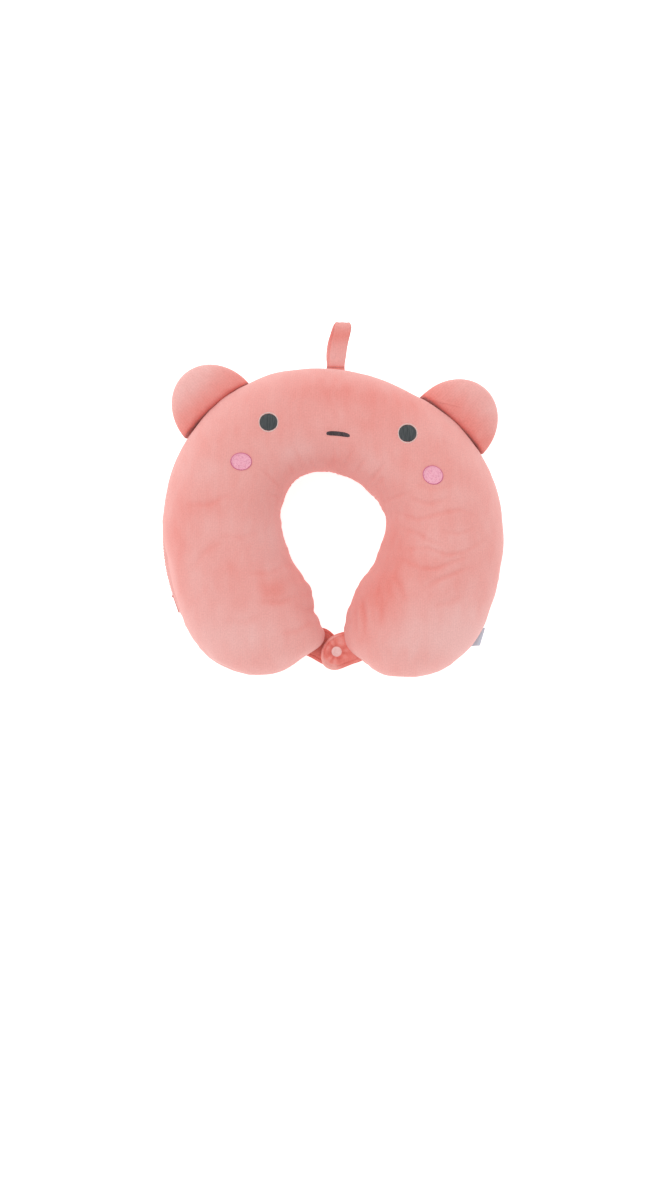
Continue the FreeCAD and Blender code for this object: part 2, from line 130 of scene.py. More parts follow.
def outline_stations(side):
    """Outside point, inside point and half height from the nape to the arm's end."""
    half_width = HALF_WIDTH - (3.4 * MM if side > 0 else 2.2 * MM)
    neck_half = NECK_HALF_WIDTH + (0.0 if side > 0 else 1.0 * MM)
    arm_end = ARM_END_Y + (1.5 * MM if side > 0 else 0.0)
    rows = []
    for turn, height in ((90, 46), (67.5, 48), (45, 50), (22.5, 51.5), (0, 52)):
        c = math.cos(math.radians(turn))
        s = math.sin(math.radians(turn))
        shoulder = c * (1.0 + 0.16 * s ** 3 * c) if side > 0 else c ** 1.04 * (1.0 - 0.05 * s * c)
        outside = (side * half_width * shoulder + NAPE_LEAN * s * s,
                   WIDEST_Y + (NAPE_Y - 2.4 * MM - WIDEST_Y) * s)
        inside = (side * neck_half * c + NECK_LEAN * s * s,
                  NECK_WIDEST_Y + (NECK_TOP_Y - NECK_WIDEST_Y) * s)
        rows.append((outside, inside, height * MM))
    for turn, reach, inside, height in (ARM_RIGHT if side > 0 else ARM_LEFT):
        outside = (side * (LOBE_X + (half_width - LOBE_X) * reach),
                   WIDEST_Y + (WIDEST_Y - arm_end) * math.sin(math.radians(turn)))
        rows.append((outside, (side * inside[0] * MM, inside[1] * MM), height * MM))
    tip = (side * (LOBE_X - 1 * MM), arm_end)
    middle = [0.5 * (a + b) for a, b in zip(rows[-1][0], rows[-1][1])]
    close_out = [t + (o - m) * TIP_SHARE for t, o, m in zip(tip, rows[-1][0], middle)]
    close_in = [t + (i - m) * TIP_SHARE for t, i, m in zip(tip, rows[-1][1], middle)]
    rows.append((tuple(close_out), tuple(close_in), 15 * MM * TIP_SHARE))
    return rows


# Arm sections: turn of the outside point and its reach from the lobe's middle, inside
# point in mm, half height in mm.
ARM_RIGHT = ((-15, 0.985, (38.8, -53.5), 52), (-30, 0.905, (22.0, -81.5), 51),
             (-45, 0.778, (13.6, -106), 48), (-60, 0.558, (15.5, -133), 40),
             (-72, 0.366, (32.5, -148), 29), (-83, 0.145, (49, -157.4), 15.5))
ARM_LEFT = ((-15, 0.950, (38.0, -53.5), 52), (-30, 0.856, (20.6, -80), 51),
            (-45, 0.725, (13.6, -103), 48), (-60, 0.535, (7.0, -128), 40),
            (-72, 0.338, (27, -146), 29), (-83, 0.1275, (46, -157), 15.5))


def smooth_rows(rows, samples):
    """A smooth curve through rows of numbers, sampled at even steps along it."""
    rows = np.asarray(rows, float)
    step = np.linalg.norm(np.diff(rows, axis=0), axis=1)
    knots = np.concatenate([[0.0], np.cumsum(step)])
    slope = np.diff(rows, axis=0) / step[:, None]
    inner = (slope[:-1] * step[1:, None] + slope[1:] * step[:-1, None])
    inner /= (step[1:] + step[:-1])[:, None]
    tangent = np.vstack([slope[:1], inner, slope[-1:]])
    at = np.linspace(0.0, knots[-1], samples)
    k = np.clip(np.searchsorted(knots, at, side="right") - 1, 0, len(step) - 1)
    t = ((at - knots[k]) / step[k])[:, None]
    span = step[k][:, None]
    return ((2 * t ** 3 - 3 * t ** 2 + 1) * rows[k] + (t ** 3 - 2 * t ** 2 + t) * span * tangent[k]
            + (3 * t ** 2 - 2 * t ** 3) * rows[k + 1] + (t ** 3 - t ** 2) * span * tangent[k + 1])


def pillow_sections():
    """Centre, half width direction and half height of each section, left tip to right tip."""
    left = outline_stations(-1)
    right = outline_stations(1)
    rows = []
    for outside, inside, height in left[:0:-1] + right:
        centre = [0.5 * (a + b) for a, b in zip(outside, inside)]
        across = [0.5 * (a - b) for a, b in zip(outside, inside)]
        rows.append(centre + across + [height])
    return smooth_rows(rows, RINGS)


def zip_turn(x, y):
    """Angle round the zip's centre, from the middle of the zip towards the arm's end."""
    return np.arctan2(ZIP_Y - y, ZIP_X - x)


def section_turns(rows):
    """Turn of each point round its section; two columns follow the zip's slot."""
    turn = full_turn(AROUND)
    turns = np.tile(turn, (RINGS, 1))
    edge_x = rows[:, 0] + rows[:, 2]
    edge_y = rows[:, 1] + rows[:, 3]
    near = 1.0 - smooth(ZIP_SPAN, ZIP_SPAN * 1.4, np.abs(zip_turn(edge_x, edge_y)))
    for ring in np.nonzero(near > 0.0)[0]:
        goal = []
        for along_wall in (-SLOT_HALF, SLOT_HALF):
            drop = SEAM_Z - ZIP_Z - along_wall * math.cos(ZIP_TILT)
            goal.append(2 * math.pi - math.asin((drop / rows[ring, 4]) ** (SECTION_POWER / 2)))
        known = [1.5 * math.pi, turn[SLOT_COLUMNS[0]], turn[SLOT_COLUMNS[1]], 2 * math.pi]
        moved = np.interp(turn, known, [known[0], *goal, known[3]])
        moved = np.where(turn > known[0], moved, turn)
        turns[ring] += near[ring] * (moved - turn)
    return turns


def lay_on_zip_wall(points):
    """The cover lies exactly on the zip's wall near the zip."""
    x, y, z = np.moveaxis(points, -1, 0)
    turn = zip_turn(x, y)
    up_wall = (z - ZIP_Z) / math.cos(ZIP_TILT)
    weight = 1.0 - smooth(9 * MM, 17 * MM, np.abs(up_wall))
    weight *= 1.0 - smooth(ZIP_SPAN * 1.06, ZIP_SPAN * 1.35, np.abs(turn))
    weight *= (x < 0.0) & (np.hypot(x - ZIP_X, y - ZIP_Y) > 0.8 * ZIP_R)
    radius = np.hypot(x - ZIP_X, y - ZIP_Y)
    goal = ZIP_R + up_wall * math.sin(ZIP_TILT)
    scale = 1.0 + weight * (goal / radius - 1.0)
    out = points.copy()
    out[:, :, 0] = ZIP_X + (x - ZIP_X) * scale
    out[:, :, 1] = ZIP_Y + (y - ZIP_Y) * scale
    return out, weight


def pillow_points():
    """Points of the tube, one row per section; column 0 is on the outer seam."""
    rows = pillow_sections()
    turn = section_turns(rows)
    c = blunted(np.cos(turn), 2 / SECTION_POWER)
    s = blunted(np.sin(turn), 2 / SECTION_POWER)
    points = np.zeros((RINGS, AROUND, 3))
    points[:, :, 0] = rows[:, 0:1] + rows[:, 2:3] * c
    points[:, :, 1] = rows[:, 1:2] + rows[:, 3:4] * c
    points[:, :, 2] = SEAM_Z + rows[:, 4:5] * s
    lean = LEAN * smooth(-70 * MM, 30 * MM, points[:, :, 1])
    points[:, :, 1] -= lean * points[:, :, 0]
    return points


# --- mesh helpers --------------------------------------------------------------

def make_mesh(name, points, faces, closed=False):
    """A smooth-shaded piece; a closed one gets its faces turned outwards."""
    mesh = bpy.data.meshes.new(name)
    mesh.from_pydata([tuple(p) for p in points], [], faces)
    mesh.validate()
    if closed:
        work = bmesh.new()
        work.from_mesh(mesh)
        bmesh.ops.recalc_face_normals(work, faces=work.faces)
        work.to_mesh(mesh)
        work.free()
    mesh.update()
    mesh.shade_smooth()
    piece = bpy.data.objects.new(name, mesh)
    bpy.context.scene.collection.objects.link(piece)
    return piece


def grid_faces(rows, columns, closed):
    """Quads of a grid of points; closed joins the last column to the first."""
    last = columns if closed else columns - 1
    faces = []
    for i in range(rows - 1):
        for j in range(last):
            k = (j + 1) % columns
            faces.append((i * columns + j, i * columns + k,
                          (i + 1) * columns + k, (i + 1) * columns + j))
    return faces


def band_faces(first, second, count):
    """Quads between two closed rings of points that start at these indices."""
    return [(first + j, first + (j + 1) % count, second + (j + 1) % count, second + j)
            for j in range(count)]


def end_faces(rows, columns):
    """The two faces that close the ends of a tube of rings."""
    last = (rows - 1) * columns
    return [tuple(range(columns - 1, -1, -1)), tuple(last + j for j in range(columns))]


def tube_faces(rows, columns):
    """Faces of a tube of rings, ends closed."""
    return grid_faces(rows, columns, True) + end_faces(rows, columns)


def grid_border(rows, columns):
    """Indices round the border of a grid of points."""
    top = list(range(columns))
    right = [i * columns + columns - 1 for i in range(1, rows)]
    bottom = [(rows - 1) * columns + j for j in range(columns - 2, -1, -1)]
    left = [i * columns for i in range(rows - 2, 0, -1)]
    return top + right + bottom + left


def plate(name, top, bottom):
    """A closed mesh between two grids of points."""
    rows, columns = top.shape[:2]
    count = rows * columns
    faces = grid_faces(rows, columns, False)
    faces += [tuple(v + count for v in reversed(face)) for face in faces]
    border = grid_border(rows, columns)
    for a, b in zip(border, border[1:] + border[:1]):
        faces.append((b, a, a + count, b + count))
    points = np.concatenate([top.reshape(-1, 3), bottom.reshape(-1, 3)])
    return make_mesh(name, points, faces, True)


def swept_tube(name, path, normals, radius_n, radius_s, sides, closed):
    """A tube along a path of points; radii along the normals and beside them."""
    path = np.asarray(path, float)
    normals = np.asarray(normals, float)
    if closed:
        along = np.roll(path, -1, axis=0) - np.roll(path, 1, axis=0)
    else:
        along = np.gradient(path, axis=0)
    beside = unit(np.cross(unit(along), normals))
    turn = full_turn(sides)
    rings = (path[:, None] + normals[:, None] * (radius_n * np.sin(turn))[None, :, None]
             + beside[:, None] * (radius_s * np.cos(turn))[None, :, None])
    count = len(path)
    points = rings.reshape(-1, 3)
    faces = tube_faces(count, sides)
    if closed:
        faces[-2:] = band_faces((count - 1) * sides, 0, sides)
    return make_mesh(name, points, faces, True)


def pad(outline, centre, half_height, ring_shares):
    """Points and faces of a stuffed piece: two sides over one outline, sewn at its edge."""
    outline = np.asarray(outline, float)
    count = len(outline)
    sides = []
    for sign in (1.0, -1.0):
        rings = []
        for share in ring_shares:
            ring = np.zeros((count, 3))
            ring[:, :2] = centre + (outline - centre) * share
            ring[:, 2] = sign * half_height(ring[:, 0], ring[:, 1], share)
            rings.append(ring)
        sides.append(np.stack(rings))
    top, bottom = sides
    rows = len(ring_shares)
    points = np.concatenate([top.reshape(-1, 3), bottom[:-1].reshape(-1, 3)])
    faces = grid_faces(rows, count, True)
    faces.append(tuple(range(count)))
    offset = rows * count
    under = grid_faces(rows - 1, count, True)
    faces += [tuple(v + offset for v in reversed(face)) for face in under]
    last = offset + (rows - 2) * count
    edge = (rows - 1) * count
    faces += band_faces(edge, last, count)
    faces.append(tuple(offset + j for j in range(count)))
    return points, faces


def coordinates(piece):
    """The points of a piece, one row each."""
    out = np.zeros(len(piece.data.vertices) * 3)
    piece.data.vertices.foreach_get("co", out)
    return out.reshape(-1, 3)


def apply_modifiers(piece):
    """Replace the mesh with what its modifiers make of it."""
    depsgraph = bpy.context.evaluated_depsgraph_get()
    evaluated = piece.evaluated_get(depsgraph)
    mesh = bpy.data.meshes.new_from_object(evaluated)
    piece.modifiers.clear()
    piece.data = mesh


def grid_normals(points):
    """Unit normals of the tube's points, outwards."""
    along = np.gradient(points, axis=0)
    around = np.roll(points, -1, axis=1) - np.roll(points, 1, axis=1)
    return unit(np.cross(around, along))


# --- cloth ---------------------------------------------------------------------

SETTLE_FRAMES = 20
SETTLE_PRESSURE = 4.0        # of the filling against the cloth
SETTLE_EASE = 0.02           # share by which the cloth is cut larger than the filling
SETTLE_REACH = 4 * MM        # no point moves further than this


def settle(piece, pinned):
    """How far each point moves when the sewn cloth fills out between its pinned seams."""
    rest = coordinates(piece)
    group = piece.vertex_groups.new(name="seams")
    group.add([int(index) for index in np.nonzero(pinned)[0]], 1.0, "REPLACE")
    cloth = piece.modifiers.new("cloth", "CLOTH")
    cloth.settings.quality = 6
    cloth.settings.mass = 0.2
    cloth.settings.tension_stiffness = 12
    cloth.settings.compression_stiffness = 12
    cloth.settings.shear_stiffness = 4
    cloth.settings.bending_stiffness = 0.4
    cloth.settings.air_damping = 4
    cloth.settings.shrink_min = -SETTLE_EASE
    cloth.settings.use_pressure = True
    cloth.settings.uniform_pressure_force = SETTLE_PRESSURE
    cloth.settings.effector_weights.gravity = 0
    cloth.settings.vertex_group_mass = "seams"
    cloth.point_cache.frame_start = 1
    cloth.point_cache.frame_end = SETTLE_FRAMES
    for number in range(1, SETTLE_FRAMES + 1):
        bpy.context.scene.frame_set(number)
    depsgraph = bpy.context.evaluated_depsgraph_get()
    moved = np.zeros(rest.size)
    piece.evaluated_get(depsgraph).data.vertices.foreach_get("co", moved)
    piece.modifiers.clear()
    bpy.context.scene.frame_set(1)
    shift = moved.reshape(-1, 3) - rest
    length = np.linalg.norm(shift, axis=1, keepdims=True)
    return shift * np.minimum(1.0, SETTLE_REACH / np.maximum(length, 1e-9))


def settled_shift(points):
    """How the cover's cloth moves when it is stuffed, for every point of the fine grid."""
    coarse = points[::COARSE, ::2]
    rings, around = coarse.shape[:2]
    tube = make_mesh("cover_cloth", coarse.reshape(-1, 3), tube_faces(rings, around))
    column = np.tile(np.arange(around), rings)
    ring = np.repeat(np.arange(rings), around)
    pinned = (column == 0) | (column == around // 2) | (ring < 3) | (ring > rings - 4)
    shift = settle(tube, pinned).reshape(rings, around, 3)
    bpy.data.objects.remove(tube)
    for _ in range(2):
        shift = 0.25 * (2 * shift + np.roll(shift, 1, axis=1) + np.roll(shift, -1, axis=1))
        shift[1:-1] = 0.25 * (2 * shift[1:-1] + shift[:-2] + shift[2:])
    along = np.arange(RINGS) / COARSE
    low = np.clip(along.astype(int), 0, rings - 2)
    part = (along - low)[:, None, None]
    tall = shift[low] * (1.0 - part) + shift[low + 1] * part
    fine = np.zeros_like(points)
    fine[:, ::2] = tall
    fine[:, 1::2] = 0.5 * (tall + np.roll(tall, -1, axis=1))
    return fine


# --- creases pressed into the plush --------------------------------------------

def distance_to_line(x, y, line):
    """Distance in plan from each point to a line of points, and the share along it."""
    best = np.full(x.shape, 1e9)
    share = np.zeros(x.shape)
    line = np.asarray(line, float) * MM
    count = len(line) - 1
    for index in range(count):
        a = line[index]
        d = line[index + 1] - a
        t = np.clip(((x - a[0]) * d[0] + (y - a[1]) * d[1]) / (d @ d), 0.0, 1.0)
        gap = np.hypot(x - a[0] - t * d[0], y - a[1] - t * d[1])
        nearer = gap < best
        best = np.where(nearer, gap, best)
        share = np.where(nearer, (index + t) / count, share)
    return best, share


def fold(x, y, line, width, depth):
    """How far a soft fold along a line moves the plush: down in it, up beside it."""
    gap, share = distance_to_line(x, y, line)
    fade = np.sin(math.pi * np.clip(share, 0.02, 0.98)) ** 0.6
    r = gap / (width * MM)
    return -depth * MM * fade * (1.0 - 0.9 * r * r) * np.exp(-r * r)


# Each fold: points along it in mm, width and depth in mm.
FRONT_FOLDS = (
    # right arm: fine curved creases that fan out from the inner edge
    (((54, -11), (75, -18), (95, -12), (113, -8), (127, -13)), 2.6, 0.9),
    (((62, -26), (76, -30), (85, -36), (101, -42)), 2.8, 0.9),
    (((64, -44), (85, -43), (103, -49), (119, -46), (139, -32)), 2.8, 1.0),
    (((58, -52), (79, -61), (92, -62), (108, -55), (126, -48)), 2.8, 1.0),
    (((82, -81), (95, -72), (111, -65), (124, -59)), 3.0, 1.1),
    (((66, 2), (84, -4), (104, 2)), 3.0, 0.8),
    (((70, 14), (88, 10), (110, 14)), 3.2, 0.6),
    (((96, -28), (112, -30), (128, -24)), 2.6, 0.7),
    (((54, -66), (62, -80), (66, -92)), 3.4, 0.9),
    (((90, -96), (106, -92), (120, -84)), 3.6, 0.7),
    # right arm: upright ridges near the inner edge
    (((23, -88), (24, -102), (26, -124)), 2.2, -1.1),
    (((31, -88), (33, -100), (36, -116)), 2.4, -0.8),
    (((27, -90), (29, -106), (31, -128)), 2.2, 0.9),
    (((41, -84), (44, -100), (46, -116)), 3.4, 0.8),
    # a small lip where the strap is sewn in
    (((-9, 114.6), (-1, 116.6), (7, 114.0)), 1.6, -0.9),
    # left arm
    (((-38, -60), (-56, -69), (-78, -70)), 3.6, 0.8),
    (((-30, -88), (-46, -96), (-66, -95)), 3.4, 0.9),
    (((-18, -112), (-30, -121), (-46, -123)), 3.4, 0.8),
    (((-92, 2), (-112, -9), (-132, -9)), 3.4, 0.8),
    (((-98, -40), (-116, -52), (-128, -70)), 4.0, 0.7),
    (((-62, -30), (-82, -38), (-104, -36)), 3.8, 0.6),
    (((-60, -106), (-76, -114), (-96, -112)), 4.0, 0.6),
)


def neck_folds():
    """Faint folds that run in to the top of the neck opening."""
    folds = []
    for index in range(11):
        turn = math.radians(22 + 13.5 * index + 3.0 * math.sin(index * 2.3))
        start = 50 + 3 * math.sin(index * 1.7)
        end = 70 + 9 * math.sin(index * 2.9 + 1.0)
        middle = 0.5 * (start + end)
        bend = math.radians(4.0 * math.sin(index * 1.3))
        line = [(-4 + r * math.cos(turn + b), NECK_WIDEST_Y / MM + r * math.sin(turn + b))
                for r, b in ((start, 0.0), (middle, 0.6 * bend), (end, bend))]
        folds.append((line, 2.4 + 0.6 * math.sin(index * 1.1), 0.6 + 0.2 * math.sin(index)))
    return folds


# Patches of brushed nap and of painted light: centre and half sizes in mm, and how much paler
# (or, below zero, deeper in colour) the pile is drawn there. The deeper patches at (2, 34),
# the neck opening's inner top edge, and at (-142, -40), the left arm's outer edge, are painted
# shade; the broad pale patches on the lower arms, (-82, -126) and (114, -122), are painted
# highlights.
BRUSHED_AND_PAINTED_LIGHT = (
    (47, -86, 14, 23, -1.3), (60, -44, 15, 22, -0.7), (27, -103, 9, 18, -0.8),
    (78, -60, 22, 11, -0.4), (58, 88, 34, 14, -0.6),
    (-4, 96, 40, 14, -0.7), (-122, -12, 20, 9, -0.4), (-54, -84, 13, 11, -0.9),
    (-88, -66, 18, 9, -0.3), (96, -38, 20, 14, 0.45), (28, 68, 16, 8, -0.3),
    (-82, -126, 46, 26, 0.9), (114, -122, 44, 30, 1.3), (-32, 40, 26, 12, 0.7),
    (34, 30, 18, 12, 0.6), (108, 4, 24, 10, 0.4), (-116, 24, 24, 12, 0.5),
    (-70, -30, 14, 34, 0.4), (64, -128, 22, 16, 0.5), (-120, -70, 12, 26, 0.4),
    (-52, -36, 9, 26, 0.9), (-100, -28, 18, 14, 0.4), (-142, -40, 9, 34, -0.7),
    (2, 34, 16, 6, -0.4),
)

# Gathers at the inner edge of the arms: where each pucker is, its width and depth in mm.
PUCKERS = ((-25, -74, 3.6, 1.2), (-17.5, -88, 2.8, 0.9), (-13.5, -101.5, 3.4, 1.8),
           (-8, -114, 2.6, 1.0), (17.5, -95, 4.0, 1.0), (14, -111, 3.0, 0.6))


def fold_depths(points, normals):
    """How far the front panel's folds and the inner edges' gathers move the plush."""
    x, y, z = np.moveaxis(points, -1, 0)
    upward = smooth(0.05, 0.6, normals[:, :, 2])
    move = np.zeros(x.shape)
    for line, width, depth in FRONT_FOLDS + tuple(neck_folds()):
        move += fold(x, y, line, width, depth) * upward
    for px, py, width, depth in PUCKERS:
        pucker = bell(x - px * MM, 15 * MM) * bell(y - py * MM, width * MM)
        move -= depth * MM * pucker * bell(z - SEAM_Z, 30 * MM)
    return move


def nap_and_painted_light_of_cover(points, normals, folds):
    """How the pile is brushed, with light and shade painted on it: paler above zero, deeper in
    colour below.
    """
    x, y, _ = np.moveaxis(points, -1, 0) / MM
    nap_and_painted_light = np.zeros(x.shape)
    for cx, cy, rx, ry, amount in BRUSHED_AND_PAINTED_LIGHT:
        nap_and_painted_light += amount * bell(x - cx, rx) * bell(y - cy, ry)
    nap_and_painted_light *= smooth(-0.2, 0.3, normals[:, :, 2])
    # Painted sheen: the steeper the side, the paler it is drawn.
    nap_and_painted_light += 0.8 * (1.0 - np.abs(normals[:, :, 2])) ** 1.3
    # Painted shade in the folds' hollows and painted highlights on the ridges beside them.
    return np.maximum(nap_and_painted_light + 0.4 * folds / MM, -1.1)


def set_cloth(piece, nap_and_painted_light, places):
    """Give each point its nap with the light and shade painted on it, and its place on the cloth as
    it was cut.
    """
    attribute = piece.data.attributes.new("nap_and_painted_light", "FLOAT", "POINT")
    attribute.data.foreach_set("value", np.asarray(nap_and_painted_light, np.float32).ravel())
    attribute = piece.data.attributes.new("cloth", "FLOAT_VECTOR", "POINT")
    attribute.data.foreach_set("vector", np.asarray(places, np.float32).ravel())


def places_on_cloth(points):
    """Where each point of the cover lies on its flat panel, crown lines in place."""
    step = np.linalg.norm(np.roll(points, -1, axis=1) - points, axis=2)
    around = np.hstack([np.zeros((RINGS, 1)), np.cumsum(step, axis=1)[:, :-1]])
    outward = unit(points[:, 0] - points[:, AROUND // 2])
    places = np.zeros_like(points)
    for crown, sign, level in ((AROUND // 4, -1.0, 0.0), (3 * AROUND // 4, 1.0, -0.4)):
        columns = slice(crown - AROUND // 4, crown + AROUND // 4)
        reach = sign * (around[:, columns] - around[:, crown:crown + 1])
        flat = points[:, crown][:, None] + reach[:, :, None] * outward[:, None]
        flat[:, :, 2] = level
        places[:, columns] = flat
    return places


def soft_unevenness(points, normals):
    """Gentle lumps of a hand-filled cover, about half a millimetre high."""
    places = points.reshape(-1, 3).T
    move = (0.9 * MM) * (0.8 * lumps(24.0, *places) + 0.5 * lumps(55.0, *places))
    return points + normals * move.reshape(points.shape[:2])[:, :, None]


def gather_at_seams(points, normals):
    """Small puckers where the panels are sewn together and the cloth is eased in."""
    column = np.arange(AROUND)
    half = AROUND // 2
    from_seam = np.minimum(np.minimum(column, AROUND - column), np.abs(column - half))
    near = bell(from_seam, 5.0)[None, :]
    ring = np.arange(RINGS)[:, None]
    wave = np.sin(ring * 0.71) * 0.6 + np.sin(ring * 1.13 + 1.0) * 0.4
    wave = wave * (0.5 + 0.5 * np.sin(ring * 0.093 + 2.0))
    move = 0.45 * MM * wave * near
    groove = 1.1 * MM * bell(from_seam, 1.6)[None, :]
    return points + normals * (move - groove)[:, :, None]


def rest_on_floor(points):
    """The underside spreads flat where it rests."""
    z = points[:, :, 2]
    out = points.copy()
    out[:, :, 2] = 0.5 * (z + np.sqrt(z * z + (1.2 * MM) ** 2))
    return out


# --- face, on the cover --------------------------------------------------------

# Places in mm, and half sizes for the dimples round them.
EYES = ((-60.9, 66.6), (64.4, 59.6))
CHEEKS = ((-84.6, 30.5), (88.0, 22.5))
MOUTH = (1.9, 57.8)
EYE_R = 8.2
CHEEK_R = ((9.7, 8.0), (9.5, 8.4))
CHEEK_TILT = (0.0, math.radians(-26))
MOUTH_R = (11.0, 2.2)


def dimples(points, normals):
    """The embroidery is drawn down into the plush."""
    x, y, _ = np.moveaxis(points, -1, 0)
    upward = smooth(0.1, 0.5, normals[:, :, 2])
    move = np.zeros(x.shape)
    for (cx, cy), rx, ry in ((EYES[0], 10, 10), (EYES[1], 10, 10), (CHEEKS[0], 11.5, 10),
                             (CHEEKS[1], 11.5, 10), (MOUTH, 12.5, 4.6)):
        r = np.hypot((x - cx * MM) / (rx * MM), (y - cy * MM) / (ry * MM))
        move -= 1.0 * MM * np.exp(-r ** 4) * upward
    return points + normals * move[:, :, None]


def cover_surface():
    """The finished plush surface as a grid of points, and the nap of each point with the light and
    shade painted on it.
    """
    points = pillow_points()
    plain = points
    points = points + settled_shift(points)
    normals = grid_normals(points)
    points = points + normals * PLUSH_SWELL
    points = soft_unevenness(points, normals)
    points = gather_at_seams(points, normals)
    folds = fold_depths(points, normals)
    nap_and_painted_light = nap_and_painted_light_of_cover(points, normals, folds)
    points = points + normals * folds[:, :, None]
    points = dimples(points, normals)
    wall, at_zip = lay_on_zip_wall(plain)
    points = points + at_zip[:, :, None] * (wall - points)
    return rest_on_floor(points), nap_and_painted_light


# --- cover panels --------------------------------------------------------------

SEAM_PAINTED_SHADE = -3.0              # painted shade on the edges turned in at the seams
CLOTH_THICKNESS = 1.2 * MM
LINER_DEPTH = 4.2 * MM       # under the plush's outer surface
CORE_DEPTH = 5.8 * MM


def turned_in_rows(points, normals, column, sign):
    """Rows of points that turn a panel's edge in at the seam."""
    rows = []
    for sink, across in ((0.7, 0.15), (1.8, 0.2), (3.0, 0.2)):
        edge = points[:, column] - normals[:, column] * (sink * MM)
        edge[:, 2] += sign * across * MM
        rows.append(edge)
    return rows


def panel(name, points, normals, nap_and_painted_light, front):
    """Front or back panel: a cloth shell with its edges turned in at the seams."""
    half = AROUND // 2
    columns = list(range(0, half + 1)) if front else list(range(half, AROUND)) + [0]
    sign = 1.0 if front else -1.0
    lead = turned_in_rows(points, normals, columns[0], sign)
    trail = turned_in_rows(points, normals, columns[-1], sign)
    stack = lead[::-1] + [points[:, c] for c in columns] + trail
    sheet = np.stack(stack, axis=1)
    width = sheet.shape[1]
    faces = []
    turn = np.abs(zip_turn(points[:, 0, 0], points[:, 0, 1]))
    for face in grid_faces(RINGS, width, False):
        ring = face[0] // width
        column = columns[min(max(face[0] % width - len(lead), 0), len(columns) - 1)]
        in_slot = SLOT_COLUMNS[0] <= column < SLOT_COLUMNS[1] and turn[ring] < ZIP_SPAN
        if front or not in_slot:
            faces.append(face)
    piece = make_mesh(name, sheet.reshape(-1, 3), faces + end_faces(RINGS, width))
    # The turned-in edges get the painted seam shade.
    painted_seam_shade = np.full((RINGS, len(lead)), SEAM_PAINTED_SHADE)
    flat = places_on_cloth(points)[:, columns]
    flat = np.concatenate([flat[:, :1]] * len(lead) + [flat] + [flat[:, -2:-1]] * len(lead), axis=1)
    set_cloth(piece, np.hstack([painted_seam_shade, nap_and_painted_light[:, columns], painted_seam_shade]), flat)
    solid = piece.modifiers.new("cloth_thickness", "SOLIDIFY")
    solid.thickness = CLOTH_THICKNESS
    solid.offset = -1.0
    apply_modifiers(piece)
    drop_loose_points(piece)
    piece.data.shade_smooth()
    return piece


def drop_loose_points(piece):
    """Remove the points that no face uses, such as those in the zip's slot."""
    work = bmesh.new()
    work.from_mesh(piece.data)
    loose = [v for v in work.verts if not v.link_faces]
    bmesh.ops.delete(work, geom=loose, context="VERTS")
    work.to_mesh(piece.data)
    work.free()


def inner_layer(name, points, normals, depth):
    """A closed layer under the cover, this deep: the liner or the foam core."""
    grid = (points - normals * depth)[::6, ::4]
    rings, around = grid.shape[:2]
    return make_mesh(name, grid.reshape(-1, 3), tube_faces(rings, around), True)


# --- ears ----------------------------------------------------------------------

EAR_ROOT_INNER = (78.6, 100.1)   # ends of the root line in mm, mirrored for the left ear
EAR_ROOT_OUTER = (135.4, 48.8)
EAR_HEIGHT = 44.3 * MM
EAR_HALF_T = 14 * MM
EAR_BURIED = 8 * MM          # how far the root reaches into the body
EAR_BULGE = {-1: 3.6 * MM, 1: 2.4 * MM}   # how far the body bulges past the root line
EAR_SHIFT = {-1: (-2.2, 3.5), 1: (-1.1, -4.2)}   # each root line's own shift in mm
EAR_PAINTED_LIGHT_RISE = {-1: 1.9, 1: 1.4}       # how much lighter the ear's top is drawn than its root: painted shade at the root, painted light at the top
EAR_TIP = {-1: 0.0, 1: 3.6 * MM}   # how far the inner end is drawn down to the cover
EAR_FILLING_DEPTH = 2.2 * MM


def ear_frame(side):
    """Middle of the ear's root line, unit vectors along it and out of it, half its length."""
    shift = Vector(EAR_SHIFT[side]) * MM
    inner = Vector((side * EAR_ROOT_INNER[0], EAR_ROOT_INNER[1])) * MM + shift
    outer = Vector((side * EAR_ROOT_OUTER[0], EAR_ROOT_OUTER[1])) * MM + shift
    across = (outer - inner).normalized()
    out = Vector((-across.y, across.x)) * side
    return 0.5 * (inner + outer), across, out, 0.5 * (outer - inner).length


def ear_outline(half_root, tip):
    """Outline of the ear in its own plane: across, and out from the root line."""
    turn = full_turn(160)
    c = np.cos(turn)
    s = np.sin(turn)
    reach = np.where(s >= 0.0, EAR_HEIGHT, EAR_BURIED)
    drawn = tip * bell(s, 0.12) * (c < 0.0)
    return np.stack([half_root * c - 0.15 * drawn, reach * s - drawn], axis=1)


